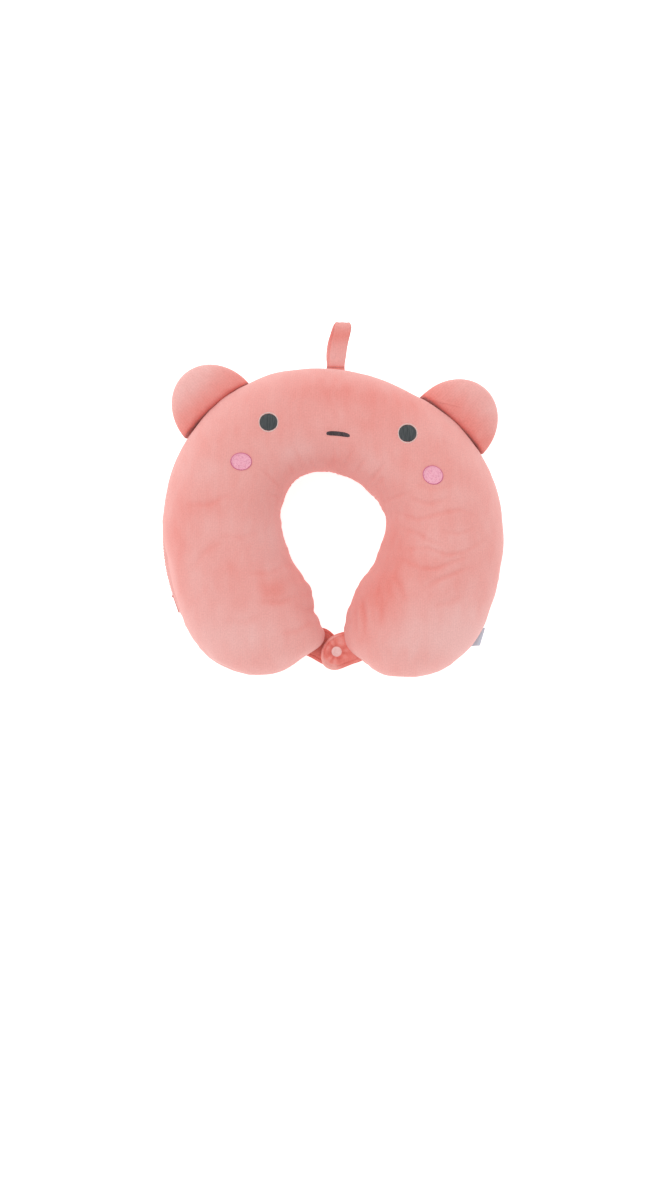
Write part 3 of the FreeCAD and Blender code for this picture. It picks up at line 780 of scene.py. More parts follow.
def ear(name, side, inset):
    """A stuffed ear of two plush faces, thin where it is sewn into the seam."""
    middle, across, out, half_root = ear_frame(side)
    outline = ear_outline(half_root, EAR_TIP[side])
    centre = np.array((0.0, 0.42 * EAR_HEIGHT))
    outline = centre + (outline - centre) * (1.0 - inset / (0.5 * EAR_HEIGHT))

    def past_body(u, v):
        """How far a point lies past the body's bulging outline."""
        return v - EAR_BULGE[side] * (1.0 - np.clip(u / half_root, -1.0, 1.0) ** 2)

    def half_height(u, v, share):
        crown = (1.0 - share ** 2.5) ** 0.52
        rise = np.clip((past_body(u, v) + 1.0 * MM) / (7 * MM), 0.0, 1.0)
        root = 0.16 + 0.84 * np.sqrt(1.0 - (1.0 - rise) ** 2)
        uneven = 0.5 * MM * lumps(55.0, u, v, np.full(len(u), side))
        pleats = np.cos(u / (1.9 * MM) + 0.6 * np.sin(u / (4.1 * MM))) * 0.3 * MM
        pleats *= bell(v - 4 * MM, 6 * MM)
        swell = EAR_HALF_T * crown * root + (uneven + pleats) * crown
        return np.maximum(swell - inset, 0.0) + 0.5 * MM * (share < 0.999)

    shares = list(np.sin(np.linspace(0.03, 0.5 * math.pi, 34))[:-1]) + [1.0, 0.985]
    points, faces = pad(outline, centre, half_height, shares)
    placed = np.zeros_like(points)
    placed[:, 0] = middle.x + points[:, 0] * across.x + points[:, 1] * out.x
    placed[:, 1] = middle.y + points[:, 0] * across.y + points[:, 1] * out.y
    placed[:, 2] = SEAM_Z + points[:, 2]
    piece = make_mesh(name, placed, faces, True)
    # Painted shade at the ear's root, fading to painted light at its top, and deeper painted shade
    # in the crease where the body bulges over the root.
    nap_and_painted_light = -0.9 + EAR_PAINTED_LIGHT_RISE[side] * smooth(6 * MM, 38 * MM, points[:, 1])
    nap_and_painted_light -= 1.2 * (1.0 - smooth(0.0, 3.0 * MM, past_body(points[:, 0], points[:, 1])))
    set_cloth(piece, nap_and_painted_light, points + np.array((0.0, side * 0.7, 0.3)))
    return piece


# --- embroidery ----------------------------------------------------------------

def lay_on(surface_tree, x, y, height):
    """Points this high over the cover, straight above places in plan."""
    out = np.zeros(x.shape + (3,))
    for index in np.ndindex(x.shape):
        spot, normal, _, _ = surface_tree.ray_cast(Vector((x[index], y[index], 0.3)),
                                                   Vector((0, 0, -1)))
        out[index] = spot + normal * height[index]
    return out


def satin(name, tree, centre, half_x, half_y, blunt, arch, tilt, pitch, lift):
    """Close upright satin stitches that fill an outline; each thread is a small ridge.

    Sizes are in mm.  A higher blunt squares the outline's ends, arch and tilt lower its
    ends and lean it, pitch is a thread's width and lift how high the stitches stand.
    """
    across = np.linspace(-0.995, 0.995, int(8 * half_x / pitch) + 1)
    thread = np.floor(across * half_x / pitch + 0.5)
    uneven = lumps(1.0, thread * 3.7, np.full(len(thread), centre[0]), np.zeros(len(thread)))
    reach = half_y * (1.0 - np.abs(across) ** blunt) ** 0.5 + 0.3 * uneven
    reach = np.maximum(reach, 0.3)
    down = np.sin(np.linspace(-0.5 * math.pi, 0.5 * math.pi, 21))
    x = np.tile(centre[0] + half_x * across, (len(down), 1))
    y = centre[1] + reach[None, :] * down[:, None]
    y += (tilt * half_x * across - arch * across ** 2)[None, :]
    ridge = 0.5 + 0.5 * np.cos(2.0 * math.pi * across * half_x / pitch)
    edge = (1.0 - np.abs(down) ** 5)[:, None] * (1.0 - np.abs(across) ** 9)[None, :]
    height = (lift + 0.22 * ridge[None, :]) * edge - 0.25 * (1.0 - edge)
    top = lay_on(tree, x * MM, y * MM, height * MM)
    low = lay_on(tree, x * MM, y * MM, np.full(x.shape, -1.0 * MM))
    return plate(name, top, low)


def eye_edge(name, tree, centre):
    """A thin ring of pile that the eye's stitches press up round their edge, drawn pale as a
    painted highlight.
    """
    turn = full_turn(120)
    wave = lumps(6.0, np.cos(turn), np.sin(turn), np.full(len(turn), centre[0]))
    radius = EYE_R + 0.35 + 0.25 * wave
    x = centre[0] + radius * np.cos(turn)
    y = centre[1] + radius * np.sin(turn)
    path = lay_on(tree, x * MM, y * MM, np.full(x.shape, 0.05 * MM))
    normals = np.tile((0.0, 0.0, 1.0), (len(turn), 1))
    return swept_tube(name, path, normals, 0.40 * MM, 0.45 * MM, 8, True)


def cheek(name, tree, centre, half_x, half_y, tilt):
    """An oval of flat stitches inside a raised satin border."""
    shares = np.concatenate([np.linspace(0.02, 0.80, 12), np.linspace(0.83, 1.0, 10)])
    turn = full_turn(240)
    along = half_x * shares[:, None] * np.cos(turn)[None, :]
    across = half_y * shares[:, None] * np.sin(turn)[None, :]
    x = centre[0] + along * math.cos(tilt) - across * math.sin(tilt)
    y = centre[1] + along * math.sin(tilt) + across * math.cos(tilt)
    border = np.clip((shares - 0.82) / 0.18, 0.0, 1.0)
    hump = np.sqrt(np.clip(1.0 - (2.0 * border - 1.0) ** 2, 0.0, 1.0)) * (border > 0.0)
    threads = 0.5 + 0.5 * np.cos(60.0 * turn)
    fill = 0.35 + 0.12 * np.sin((x + y) * 5.2) * (border == 0.0)[:, None]
    height = fill + hump[:, None] * (0.55 + 0.2 * threads[None, :])
    height[-1] = -0.4
    points = lay_on(tree, x * MM, y * MM, height * MM).reshape(-1, 3)
    count = len(turn)
    low = points[-count:] - np.array((0.0, 0.0, 0.8 * MM))
    faces = tube_faces(len(shares) + 1, count)
    piece = make_mesh(name, np.concatenate([points, low]), faces, True)
    worked = 0.5 - 1.4 * (border > 0.55)
    set_cloth(piece, np.append(np.repeat(worked, count), np.full(count, -1.0)),
              coordinates(piece))
    return piece


# --- hanging strap -------------------------------------------------------------

STRAP_W = 15.5               # width and thickness in mm
STRAP_T = 2.0


def strap_path():
    """Side view of the loop, front layer first: y, z, and how far it leans right."""
    rows = ((112, 2.0, 0.0), (119, 2.3, 0.0), (124, 3.4, 0.2), (132, 4.6, 0.8),
            (142, 5.8, 2.2), (151, 6.0, 4.2), (157, 4.4, 5.0), (160.0, 0.6, 4.6),
            (157.6, -3.6, 3.6), (151, -5.6, 1.6), (142, -5.4, -0.8), (132, -4.4, -1.8),
            (124, -3.4, -1.8), (119, -2.3, -1.6), (112, -2.0, -1.4))
    return smooth_rows(rows, 120)


def strap():
    """A loop of plush tape: a flat band, full at its edges, following its side view."""
    path = strap_path()
    along = unit(np.gradient(path[:, :2], axis=0))
    normal = np.stack([along[:, 1], -along[:, 0]], axis=1)
    turn = full_turn(40)
    wide = blunted(np.cos(turn), 0.55) * 0.5 * STRAP_W
    thick = blunted(np.sin(turn), 0.8) * 0.5 * STRAP_T
    thick *= 1.0 + 0.35 * smooth(0.55, 0.85, np.abs(wide) / (0.5 * STRAP_W))
    rings = np.zeros((len(path), len(turn), 3))
    for index, (y, z, lean) in enumerate(path):
        crease = 0.5 * bell(y - 122.0, 3.0)
        bow = (0.35 + crease) * np.cos(wide * 0.9 + index * 0.05) * 0.4
        narrow = 1.0 - 0.07 * bell(y - 122.0, 5.0) - 0.13 * smooth(155.0, 160.5, y) ** 2
        rings[index, :, 0] = -1.0 + lean + wide * narrow
        rings[index, :, 1] = y + normal[index, 0] * (thick + bow)
        rings[index, :, 2] = z + normal[index, 1] * (thick + bow)
    rings *= MM
    rings[:, :, 2] += SEAM_Z
    piece = make_mesh("strap_loop", rings.reshape(-1, 3), tube_faces(*rings.shape[:2]), True)
    reach = rings[:, :, 1] / MM
    # Painted shade: a narrow dark band in the crease near the strap's base and a darker rim along
    # both edges, where the front and back layers meet; paler round 128 mm and deeper round 149 mm
    # along the loop.
    nap_and_painted_light = (0.6 * bell(reach - 128.0, 9.0) - 0.9 * bell(reach - 149.0, 7.0)
           - 2.6 * bell(reach - 119.6, 1.1))
    nap_and_painted_light -= 1.8 * smooth(0.90, 1.0, np.abs(wide) / (0.5 * STRAP_W))
    set_cloth(piece, nap_and_painted_light, rings)
    return piece


# --- closing tabs --------------------------------------------------------------

def rounded_outline(corners, samples):
    """A closed smooth outline that passes near given corners."""
    corners = np.asarray(corners, float) * MM
    count = len(corners)
    out = []
    for at in np.linspace(0.0, count, samples, endpoint=False):
        k = int(at)
        t = at - k
        p0, p1, p2, p3 = (corners[(k + shift) % count] for shift in (-1, 0, 1, 2))
        out.append(((1 - t) ** 3 * p0 + (3 * t ** 3 - 6 * t ** 2 + 4) * p1
                    + (-3 * t ** 3 + 3 * t ** 2 + 3 * t + 1) * p2 + t ** 3 * p3) / 6.0)
    return np.array(out)


# Outlines in mm, round the tab from its upper root.
SOCKET_TAB = ((24, -117), (14, -120), (5, -122), (-3, -127), (-8.4, -136), (-9.4, -146),
              (-5.5, -153.6), (4, -156.8), (13, -153.0), (22, -148.8), (30, -147), (34, -138),
              (32, -124))
STUD_TAB = ((-30, -122), (-14, -116.5), (-3, -117.5), (6, -127), (13.5, -134),
            (14.5, -141), (9.5, -148), (1, -150.5), (-5, -152.8), (-19, -143.5),
            (-32, -140), (-36, -134))


def closing_tab(name, corners, middle_z, rim, shade):
    """A plush tab, thin under the press stud and full at its topstitched rim."""
    outline = rounded_outline(corners, 180)
    centre = np.array((SNAP_X, SNAP_Y))

    def half_height(x, y, share):
        from_snap = np.hypot(x - SNAP_X, y - SNAP_Y)
        seat = smooth(3.6 * MM, 6.2 * MM, from_snap)
        body = 1.5 * MM + seat * rim * MM
        stitch = 0.9 * MM * bell(share - 0.80, 0.035) * seat
        crown = (1.0 - share ** 9) ** 0.5
        uneven = 0.3 * MM * lumps(90.0, x, y, np.full(len(x), middle_z)) * seat
        return (body - stitch + uneven) * crown + 0.35 * MM * (share < 0.999)

    shares = np.concatenate([np.linspace(0.06, 0.7, 24), np.linspace(0.715, 0.985, 26),
                             [0.995, 1.0, 0.985]])
    points, faces = pad(outline, centre, half_height, shares)
    points[:, 2] += middle_z
    piece = make_mesh(name, points, faces, True)
    from_snap = np.hypot(points[:, 0] - SNAP_X, points[:, 1] - SNAP_Y) / MM
    turn = np.arctan2(points[:, 1] - SNAP_Y, points[:, 0] - SNAP_X)
    # Painted light and shade: light and dark rays of painted wrinkles round the snap, a painted
    # highlight on the left part of the rim, a ring of painted shade round the snap, and the tab's
    # shade over it all.
    painted_wrinkle_rays = np.sin(7.0 * turn + 1.2 * np.sin(3.0 * turn)) * bell(from_snap - 8.5, 3.5)
    rim = smooth(10.5, 14.0, from_snap) * smooth(6.0, -2.0, points[:, 0] / MM - SNAP_X / MM)
    nap_and_painted_light = 1.2 * rim + 0.5 * painted_wrinkle_rays - 0.6 * bell(from_snap - 6.2, 1.6)
    set_cloth(piece, nap_and_painted_light - shade, points)
    return piece


def snap_cap():
    """A moulded cap: low dome with a rolled rim and a shallow dent."""
    rows = ((0.0, 0.55), (1.4, 0.62), (2.3, 0.95), (3.4, 1.15), (4.8, 1.12), (5.5, 1.25),
            (6.0, 1.05), (6.2, 0.6), (6.2, 0.0))
    curve = smooth_rows(rows, 40)
    curve[0, 0] = 0.02
    turn = full_turn(96)
    rings = np.zeros((len(curve), len(turn), 3))
    rings[:, :, 0] = curve[:, 0:1] * np.cos(turn)
    rings[:, :, 1] = curve[:, 0:1] * np.sin(turn)
    rings[:, :, 2] = curve[:, 1:2]
    rings *= MM
    rings += np.array((SNAP_X, SNAP_Y, SNAP_LOW.z))
    return make_mesh("snap_cap_moulded", rings.reshape(-1, 3), tube_faces(*rings.shape[:2]), True)


# --- side label ----------------------------------------------------------------

LABEL_WIDTH = 17.0           # of the ribbon as it was cut, in mm


def side_label():
    """A ribbon folded once, its two ends sewn into the seam of the right arm."""
    root = Vector((130.0, -119.9)) * MM
    out = Vector((0.965, -0.26)).normalized()
    along = Vector((-out.y, out.x))
    side_view = ((-3.5, 0.5), (2.0, 0.8), (6.2, 1.0), (8.0, 0.0), (6.2, -1.0), (2.0, -0.8),
                 (-3.5, -0.5))
    path = smooth_rows(side_view, 60)
    direction = unit(np.gradient(path, axis=0))
    across = np.linspace(-0.5, 0.5, 33) * LABEL_WIDTH
    sides = []
    for offset in (0.22, -0.22):
        layer = np.zeros((len(path), len(across), 3))
        for index, (reach, rise) in enumerate(path):
            push = reach - direction[index, 1] * offset
            lift = rise + direction[index, 0] * offset
            curl = 0.5 * np.sin(across * 0.16 + 0.4) * max(reach, 0.0) / 8.0
            slip = across + 0.36 * (push - 8.0)
            layer[index, :, 0] = root.x / MM + out.x * push + along.x * slip
            layer[index, :, 1] = root.y / MM + out.y * push + along.y * slip
            layer[index, :, 2] = SEAM_Z / MM + lift + curl
        sides.append(layer * MM)
    return plate("label_ribbon", *sides)


# --- zip -----------------------------------------------------------------------

def wall_point(n, s, turn):
    """A point at the zip in mm: n out of the plush, s up the wall, turn in radians."""
    r = ZIP_R + (n * math.cos(ZIP_TILT) + s * math.sin(ZIP_TILT)) * MM
    z = ZIP_Z + (s * math.cos(ZIP_TILT) - n * math.sin(ZIP_TILT)) * MM
    return (ZIP_X - r * math.cos(turn), ZIP_Y - r * math.sin(turn), z)


def wall_normal(turn):
    """The direction out of the plush at the zip."""
    return (-math.cos(turn) * math.cos(ZIP_TILT), -math.sin(turn) * math.cos(ZIP_TILT),
            -math.sin(ZIP_TILT))


def zip_hem():
    """The plush edge rolled back round the zip's slot."""
    half_turn = ZIP_SPAN * 1.006
    edge = SLOT_HALF / MM + 0.1
    places = [(edge, turn) for turn in np.linspace(-half_turn, half_turn, 120)]
    places += [(s, half_turn) for s in np.linspace(edge, -edge, 14)[1:-1]]
    places += [(-edge, turn) for turn in np.linspace(half_turn, -half_turn, 120)]
    places += [(s, -half_turn) for s in np.linspace(-edge, edge, 14)[1:-1]]
    path = [wall_point(-0.35, s, turn) for s, turn in places]
    normals = [wall_normal(turn) for _, turn in places]
    return swept_tube("zip_hem", path, normals, 1.0 * MM, 1.2 * MM, 12, True)


def zip_stitches():
    """Two rows of topstitching that hold the zip's tapes to the cover."""
    points = []
    faces = []
    sizes = (0.05, 0.22, 0.30, 0.22, 0.05)
    shifts = np.array((-1.0, -0.7, 0.0, 0.7, 1.0)) * 0.85 * MM / ZIP_R
    round_thread = full_turn(6)
    for s in (SLOT_HALF / MM + 2.4, -SLOT_HALF / MM - 2.4):
        for turn in np.linspace(-ZIP_SPAN, ZIP_SPAN, 48):
            path = [np.array(wall_point(0.05, s, turn + shift)) for shift in shifts]
            out = np.array(wall_normal(turn))
            side = unit(np.cross(path[-1] - path[0], out))
            ring = np.outer(np.sin(round_thread), out) + np.outer(np.cos(round_thread), side)
            first = len(points)
            for middle, size in zip(path, sizes):
                points += list(middle + ring * size * MM)
            faces += [tuple(first + v for v in face) for face in tube_faces(5, 6)]
    return make_mesh("zip_stitches", points, faces, True)


COIL_TURNS = 96
COIL_SPAN = math.radians(23.2)


def zip_spiral(name, side):
    """One nylon coil, wound along the edge of its tape."""
    path = []
    normals = []
    for share in np.linspace(0.0, 1.0, COIL_TURNS * 10 + 1):
        turn = COIL_SPAN * (2.0 * share - 1.0)
        wind = 2.0 * math.pi * share * COIL_TURNS
        n = -0.95 + 0.26 * math.sin(wind)
        s = side * 1.2 + 0.50 * math.cos(wind)
        path.append(wall_point(n, s, turn))
        normals.append(wall_normal(turn))
    return swept_tube(name, path, normals, 0.19 * MM, 0.19 * MM, 6, False)


# --- materials -----------------------------------------------------------------

SEAM_SHADE = (200, 136, 132)
PINK_DEEP = (238, 138, 128)
PINK = (241, 167, 160)
PINK_PALE = (244, 190, 185)
# The tabs' plush: deeper and redder copies of the cover's pink, partly the tabs' own redder tone
# and partly painted shade of the valley between the arms where they lie.
TAB_SHADED_DEEP = (214, 98, 88)
TAB_SHADED_PINK = (236, 136, 126)
TAB_SHADED_PALE = (244, 176, 168)
EVEN = (1.0, 1.0, 1.0)       # noise that isn't stretched
WHITE = [1.0, 1.0, 1.0, 1.0]


def srgb(red, green, blue):
    """A colour of a picture, 0 to 255 each, as the shader takes it."""
    out = []
    for value in (red, green, blue):
        c = value / 255.0
        out.append(c / 12.92 if c <= 0.04045 else ((c + 0.055) / 1.055) ** 2.4)
    return out + [1.0]


def new_material(name):
    """A new material, its node tree and its shader."""
    material = bpy.data.materials.new(name)
    material.use_nodes = True
    return material, material.node_tree, material.node_tree.nodes["Principled BSDF"]


def set_up(tree, node, feeds, values):
    """Lead outputs into some of a node's sockets and set values on others."""
    for socket, output in feeds.items():
        tree.links.new(output, node.inputs[socket])
    for socket, value in values.items():
        node.inputs[socket].default_value = value


def add_node(tree, kind, feeds, values):
    """A new node with its sockets set up."""
    node = tree.nodes.new(kind)
    set_up(tree, node, feeds, values)
    return node


def object_place(tree):
    """Each point's place on its piece."""
    return add_node(tree, "ShaderNodeTexCoord", {}, {}).outputs["Object"]


def attribute_node(tree, name):
    """Outputs that read what set_cloth gave each point."""
    node = add_node(tree, "ShaderNodeAttribute", {}, {})
    node.attribute_name = name
    return node.outputs


def noise_node(tree, where, scale, detail, stretch=EVEN):
    """Smooth noise; below 1 the stretch draws it out along that axis."""
    mapping = add_node(tree, "ShaderNodeMapping", {"Vector": where}, {"Scale": stretch})
    texture = add_node(tree, "ShaderNodeTexNoise", {"Vector": mapping.outputs["Vector"]},
                       {"Scale": scale, "Detail": detail})
    return texture.outputs["Fac"]


def wave_node(tree, where, direction, scale, distortion):
    """Parallel ribs across one axis."""
    texture = add_node(tree, "ShaderNodeTexWave", {"Vector": where},
                       {"Scale": scale, "Distortion": distortion, "Detail": 1.0})
    texture.bands_direction = direction
    return texture.outputs["Fac"]


def ramp(tree, source, low, high, dark, light):
    """Colour from a value: dark up to low, light from high on."""
    node = add_node(tree, "ShaderNodeValToRGB", {"Fac": source}, {})
    first, second = node.color_ramp.elements
    first.position = low
    first.color = dark
    second.position = high
    second.color = light
    return node.outputs["Color"]


def mixed(tree, factor, first, second, mode="MIX"):
    """Two colours mixed, the second by this factor."""
    node = add_node(tree, "ShaderNodeMix", {}, {"Factor": factor})
    node.data_type = "RGBA"
    node.blend_type = mode
    set_up(tree, node, {6: first, 7: second}, {})
    return node.outputs[2]


def bumped(tree, *heights):
    """Stack bumps: each height output with its strength and distance in mm."""
    below = {}
    for height, strength, distance in heights:
        bump = add_node(tree, "ShaderNodeBump", {"Height": height, **below},
                        {"Strength": strength, "Distance": distance * MM})
        below = {"Normal": bump.outputs["Normal"]}
    return below["Normal"]


def sum_of(tree, start, *terms):
    """The start value and every output times its factor, added up."""
    total = None
    for output, factor in terms:
        term = add_node(tree, "ShaderNodeMath", {0: output}, {1: factor, 2: start})
        term.operation = "MULTIPLY_ADD"
        if total is not None:
            tree.links.new(total, term.inputs[2])
        total = term.outputs[0]
    return total


def plush_material(name, deep, base, pale, sheen=0.3):
    """Short pile: brushed patches of nap with light and shade painted on them, fine knit lines,
    sheen at the rims.
    """
    material, tree, shader = new_material(name)
    where = attribute_node(tree, "cloth")["Vector"]
    brushed_and_painted_light = attribute_node(tree, "nap_and_painted_light")["Fac"]
    patches = noise_node(tree, where, 22.0, 5.0, (1.0, 1.0, 0.6))
    strokes = noise_node(tree, where, 75.0, 6.0, (1.0, 0.5, 0.8))
    veins = noise_node(tree, where, 190.0, 4.0, (1.0, 0.4, 0.8))
    tone = sum_of(tree, 0.21, (brushed_and_painted_light, 0.25), (patches, 0.16), (strokes, 0.32), (veins, 0.14))
    colour = ramp(tree, tone, 0.15, 0.85, srgb(*deep), srgb(*pale))
    for place, tint in ((0.5, base), (0.0, SEAM_SHADE)):
        colour.node.color_ramp.elements.new(place).color = srgb(*tint)
    speck = noise_node(tree, where, 700.0, 3.0)
    grain = ramp(tree, speck, 0.32, 0.68, [0.88, 0.85, 0.85, 1], WHITE)
    ribs = wave_node(tree, where, "X", 150.0, 1.5)
    knit = ramp(tree, ribs, 0.0, 1.0, [0.97, 0.96, 0.96, 1], WHITE)
    colour = mixed(tree, 0.8, colour, grain, "MULTIPLY")
    colour = mixed(tree, 0.8, colour, knit, "MULTIPLY")
    pile = noise_node(tree, where, 1300.0, 3.0)
    soft = noise_node(tree, where, 55.0, 5.0, (1.0, 0.5, 0.8))
    normal = bumped(tree, (ribs, 0.06, 0.3), (pile, 0.5, 0.5), (soft, 0.35, 1.6),
                    (veins, 0.30, 0.8))
    set_up(tree, shader, {"Base Color": colour, "Normal": normal},
           {"Roughness": 0.95, "Specular IOR Level": 0.12, "Sheen Weight": sheen,
            "Sheen Roughness": 0.5, "Sheen Tint": srgb(255, 224, 220)})
    return material


def thread_material(name, dark, light, stretch, scale):
    """Shiny embroidery thread: paler streaks along the stitches, partly painted highlights of the
    satin and partly the thread's uneven tone; deeper where the nap attribute says so.
    """
    material, tree, shader = new_material(name)
    where = object_place(tree)
    worked = attribute_node(tree, "nap_and_painted_light")["Fac"]
    streak_tone_and_highlight = noise_node(tree, where, scale, 2.0, stretch)
    tone = sum_of(tree, 0.0, (worked, 0.35), (streak_tone_and_highlight, 1.0))
    colour = ramp(tree, tone, 0.30, 0.70, srgb(*dark), srgb(*light))
    fine = noise_node(tree, where, 2600.0, 2.0, stretch)
    set_up(tree, shader, {"Base Color": colour, "Normal": bumped(tree, (fine, 0.35, 0.15))},
           {"Roughness": 0.48, "Specular IOR Level": 0.4, "Sheen Weight": 0.15})
    return material


def woven_material(name, dark, light, scale):
    """Plain weave: two crossed sets of yarns with small differences of tone."""
    material, tree, shader = new_material(name)
    where = object_place(tree)
    warp = wave_node(tree, where, "X", scale, 0.6)
    weft = wave_node(tree, where, "Y", scale, 0.6)
    cross = mixed(tree, 0.5, warp, weft)
    blotch = noise_node(tree, where, 60.0, 3.0)
    tone = mixed(tree, 0.35, cross, blotch)
    colour = ramp(tree, tone, 0.15, 0.85, srgb(*dark), srgb(*light))
    set_up(tree, shader, {"Base Color": colour, "Normal": bumped(tree, (cross, 0.5, 0.2))},
           {"Roughness": 0.8, "Specular IOR Level": 0.25})
    return material


def moulded_material(name, dark, light, roughness):
    """Moulded plastic or lacquered metal with faint flow marks and handling wear."""
    material, tree, shader = new_material(name)
    where = object_place(tree)
    flow = noise_node(tree, where, 180.0, 4.0)
    colour = ramp(tree, flow, 0.3, 0.7, srgb(*dark), srgb(*light))
    worn = add_node(tree, "ShaderNodeMapRange", {"Value": flow},
                    {"To Min": roughness - 0.08, "To Max": roughness + 0.10})
    fine = noise_node(tree, where, 1500.0, 2.0)
    set_up(tree, shader, {"Base Color": colour, "Roughness": worn.outputs["Result"],
                          "Normal": bumped(tree, (fine, 0.08, 0.1))}, {})
    return material


def foam_material(name, dark, light, cell):
    """Open cells of foam, or loose fibre."""
    material, tree, shader = new_material(name)
    cells = add_node(tree, "ShaderNodeTexVoronoi", {"Vector": object_place(tree)},
                     {"Scale": cell}).outputs["Distance"]
    colour = ramp(tree, cells, 0.0, 0.6, srgb(*dark), srgb(*light))
    set_up(tree, shader, {"Base Color": colour, "Normal": bumped(tree, (cells, 0.6, 0.5))},
           {"Roughness": 0.9})
    return material


def paint(piece, material):
    """Give a piece its one material."""
    piece.data.materials.clear()
    piece.data.materials.append(material)
    return piece


def fixed(piece, material, body, slot, *nodes):
    """Paint a piece that moves with one body, and hide the nodes it replaces; its slot is not used.
    """
    paint(piece, material)
    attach(piece, body)
    if nodes:
        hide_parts(*nodes)
    return piece


# --- light, floor and camera ---------------------------------------------------

CAMERA_LENS = 135.0
SENSOR = 36.0
FRAME_HEIGHT = 1.092         # height of the picture at the seam's level
CAMERA_X = 1.4 * MM
CAMERA_Y = -91.9 * MM
CAMERA_ROLL = math.radians(1.4)
WORLD_STRENGTH = 0.81
OVERHEAD_STRENGTH = 0.66
FLOOR_GLOW = 0.60            # the floor is lit from below, as a light table is


def add_camera():
    """A long lens straight above, rolled a little as in the photo."""
    data = bpy.data.cameras.new("camera")
    data.lens = CAMERA_LENS
    data.sensor_width = SENSOR
    data.sensor_fit = "AUTO"
    data.clip_end = 20.0
    camera = bpy.data.objects.new("camera", data)
    distance = FRAME_HEIGHT * CAMERA_LENS / SENSOR
    camera.location = (CAMERA_X, CAMERA_Y, SEAM_Z + distance)
    camera.rotation_euler = (0.0, 0.0, CAMERA_ROLL)
    bpy.context.scene.collection.objects.link(camera)
    bpy.context.scene.camera = camera


def add_light():
    """A bright tent all round, and a wide soft light from above, a little to the left."""
    world = bpy.data.worlds.new("studio")
    world.use_nodes = True
    set_up(world.node_tree, world.node_tree.nodes["Background"], {},
           {"Color": WHITE, "Strength": WORLD_STRENGTH})
    bpy.context.scene.world = world
    data = bpy.data.lights.new("overhead", "SUN")
    data.energy = OVERHEAD_STRENGTH
    data.angle = math.radians(40)
    light = bpy.data.objects.new("overhead", data)
    light.rotation_euler = Vector((0.35, -0.35, -1.0)).to_track_quat("-Z", "Y").to_euler()
    bpy.context.scene.collection.objects.link(light)


def add_floor():
    """A pale matt floor just under the pillow."""
    size = 3.0
    floor = make_mesh("floor", [(-size, -size, 0), (size, -size, 0), (size, size, 0),
                                (-size, size, 0)], [(0, 1, 2, 3)])
    floor.location.z = -0.2 * MM
    material, tree, shader = new_material("pale_floor")
    grain = noise_node(tree, object_place(tree), 3.0, 2.0)
    tone = ramp(tree, grain, 0.3, 0.7, [0.93, 0.93, 0.93, 1], [0.95, 0.95, 0.95, 1])
    set_up(tree, shader, {"Base Color": tone},
           {"Roughness": 0.9, "Specular IOR Level": 0.0, "Emission Color": WHITE,
            "Emission Strength": FLOOR_GLOW})
    paint(floor, material)


# --- build ---------------------------------------------------------------------

bpy.context.scene.view_settings.view_transform = "Standard"
add_camera()
add_light()
add_floor()

plush = plush_material("plush_pink", PINK_DEEP, PINK, PINK_PALE)
# The tabs' plush is drawn deeper and redder, partly as painted shade.
shaded_tab_plush = plush_material("tab_plush_pink_shaded", TAB_SHADED_DEEP, TAB_SHADED_PINK, TAB_SHADED_PALE, 0.15)
# The eye and mouth threads' pale ends are partly painted highlights of the satin.
dark_thread = thread_material("dark_thread", (36, 41, 43), (78, 83, 85), (1.0, 0.07, 0.2), 1200.0)
mouth_thread = thread_material("mouth_thread", (44, 33, 36), (88, 70, 74), (1.0, 0.2, 0.3), 1200.0)
# The pale ring round each eye is a painted highlight.
pale_edge_highlight = thread_material("pale_edge_highlight", (208, 176, 170), (238, 212, 206), EVEN, 900.0)
cheek_thread = thread_material("cheek_thread", (202, 100, 140), (244, 176, 194), EVEN, 860.0)
seam_thread = thread_material("seam_thread", (222, 138, 130), (238, 166, 158), EVEN, 900.0)
label_cloth = woven_material("label_cloth", (190, 198, 212), (220, 226, 236), 900.0)
tape_cloth = woven_material("zip_tape_cloth", (214, 130, 124), (236, 158, 150), 700.0)
liner_cloth = woven_material("liner_cloth", (226, 224, 220), (246, 245, 242), 500.0)
coil_nylon = moulded_material("coil_nylon", (222, 138, 132), (236, 160, 152), 0.42)
snap_plastic = moulded_material("snap_plastic", (226, 178, 174), (240, 200, 196), 0.38)
zip_metal = moulded_material("zip_metal", (206, 138, 130), (222, 154, 146), 0.34)
foam = foam_material("memory_foam", (232, 222, 196), (248, 240, 220), 900.0)
fibre = foam_material("fibre_filling", (236, 236, 234), (252, 252, 250), 400.0)

surface, surface_nap_and_painted_light = cover_surface()
surface_normals = grid_normals(surface)
cover_front = panel("plush_front", surface, surface_normals, surface_nap_and_painted_light, True)
cover_back = panel("plush_back", surface, surface_normals, surface_nap_and_painted_light, False)
liner = inner_layer("inner_cover", surface, surface_normals, LINER_DEPTH)
core = inner_layer("foam_core", surface, surface_normals, CORE_DEPTH)
cover_tree = BVHTree.FromPolygons([v.co for v in cover_front.data.vertices],
                                  [p.vertices for p in cover_front.data.polygons])
mouth = satin("mouth_stitches", cover_tree, MOUTH, *MOUTH_R, 5.0, 0.9, -0.08, 0.55, 0.55)

for piece, material, stem, slot, fill in (
        (cover_front, plush, "cover_front", "plush", 0.9),
        (cover_back, plush, "cover_back", "plush", 0.9),
        (liner, liner_cloth, "liner", "liner_cloth", 0.9),
        (core, foam, "foam_core", "memory_foam", 1.0)):
    paint(piece, material)
    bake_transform(piece)
    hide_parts(stem + "_left", stem + "_right")

fixed(mouth, mouth_thread, "left_half", "mouth_thread", "mouth")

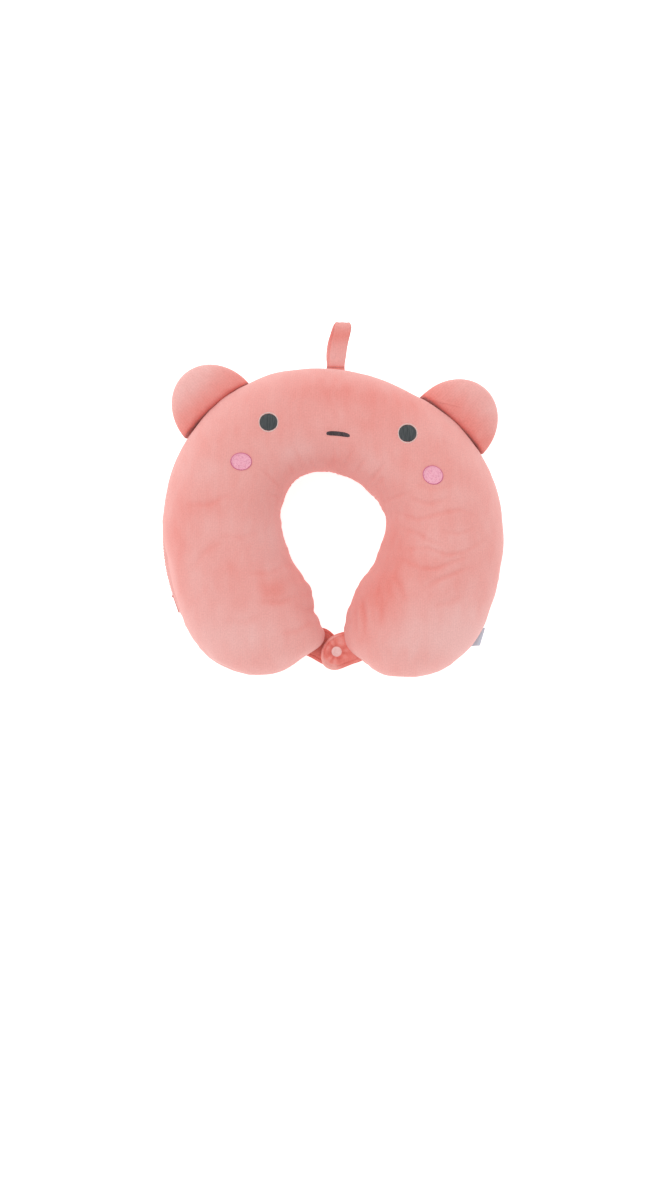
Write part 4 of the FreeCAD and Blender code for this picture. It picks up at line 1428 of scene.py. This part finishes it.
for index, side, word in ((0, -1, "left"), (1, 1, "right")):
    half = word + "_half"
    stuffed = ear("plush_ear_" + word, side, 0.0)
    filling = ear("ear_filling_" + word, side, EAR_FILLING_DEPTH)
    for piece, material, slot in ((stuffed, plush, "plush"), (filling, fibre, "fibre_filling")):
        paint(piece, material)
        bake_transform(piece)
    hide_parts("ear_" + word + "_front", "ear_" + word + "_back")
    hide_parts("ear_" + word + "_filling")
    eye = satin("eye_stitches_" + word, cover_tree, EYES[index], EYE_R, EYE_R, 2.0, 0.0, 0.0,
                0.6, 0.7)
    fixed(eye, dark_thread, half, "dark_thread", "eye_" + word)
    fixed(eye_edge("eye_edge_" + word, cover_tree, EYES[index]), pale_edge_highlight, half, "plush")
    blush = cheek("cheek_stitches_" + word, cover_tree, CHEEKS[index], *CHEEK_R[index],
                  CHEEK_TILT[index])
    fixed(blush, cheek_thread, half, "cheek_thread", "cheek_" + word)

loop = paint(strap(), plush)
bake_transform(loop)
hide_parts("hanging_strap")

SOCKET_TAB_Z = SNAP_LOW.z - 1.5 * MM
STUD_TAB_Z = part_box("snap_stud")[0].z - 1.5 * MM
for name, corners, middle_z, rim, shade, joint, parent, child, node in (
        ("upper_tab", SOCKET_TAB, SOCKET_TAB_Z, 2.4, 0.1, "socket_flap_lift", "right_half",
         "socket_flap", "socket_tab"),
        ("lower_tab", STUD_TAB, STUD_TAB_Z, 0.9, 1.4, "stud_flap_bend", "left_half",
         "stud_flap", "stud_tab")):
    piece = paint(closing_tab(name, corners, middle_z, rim, shade), shaded_tab_plush)
    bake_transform(piece)
    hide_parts(node)

fixed(snap_cap(), snap_plastic, "socket_flap", "snap_plastic", "snap_cap")
for node in ("snap_stud", "snap_stud_plate", "snap_socket"):
    paint(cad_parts[node], snap_plastic)

label = fixed(side_label(), label_cloth, "right_half", "label_cloth", "side_label")

hem = fixed(zip_hem(), plush, "left_half", "plush")
set_cloth(hem, np.full(len(hem.data.vertices), -0.3), coordinates(hem))
fixed(zip_stitches(), seam_thread, "left_half", "plush")
for word, side in (("upper", 1.0), ("lower", -1.0)):
    fixed(zip_spiral("zip_spiral_" + word, side), coil_nylon, "left_half", "zip_coil",
          "zip_coil_" + word)
    paint(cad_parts["zip_tape_" + word], tape_cloth)
for node in ("zip_top_stops", "zip_bottom_stop", "zip_slider", "zip_pull"):
    paint(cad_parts[node], zip_metal)
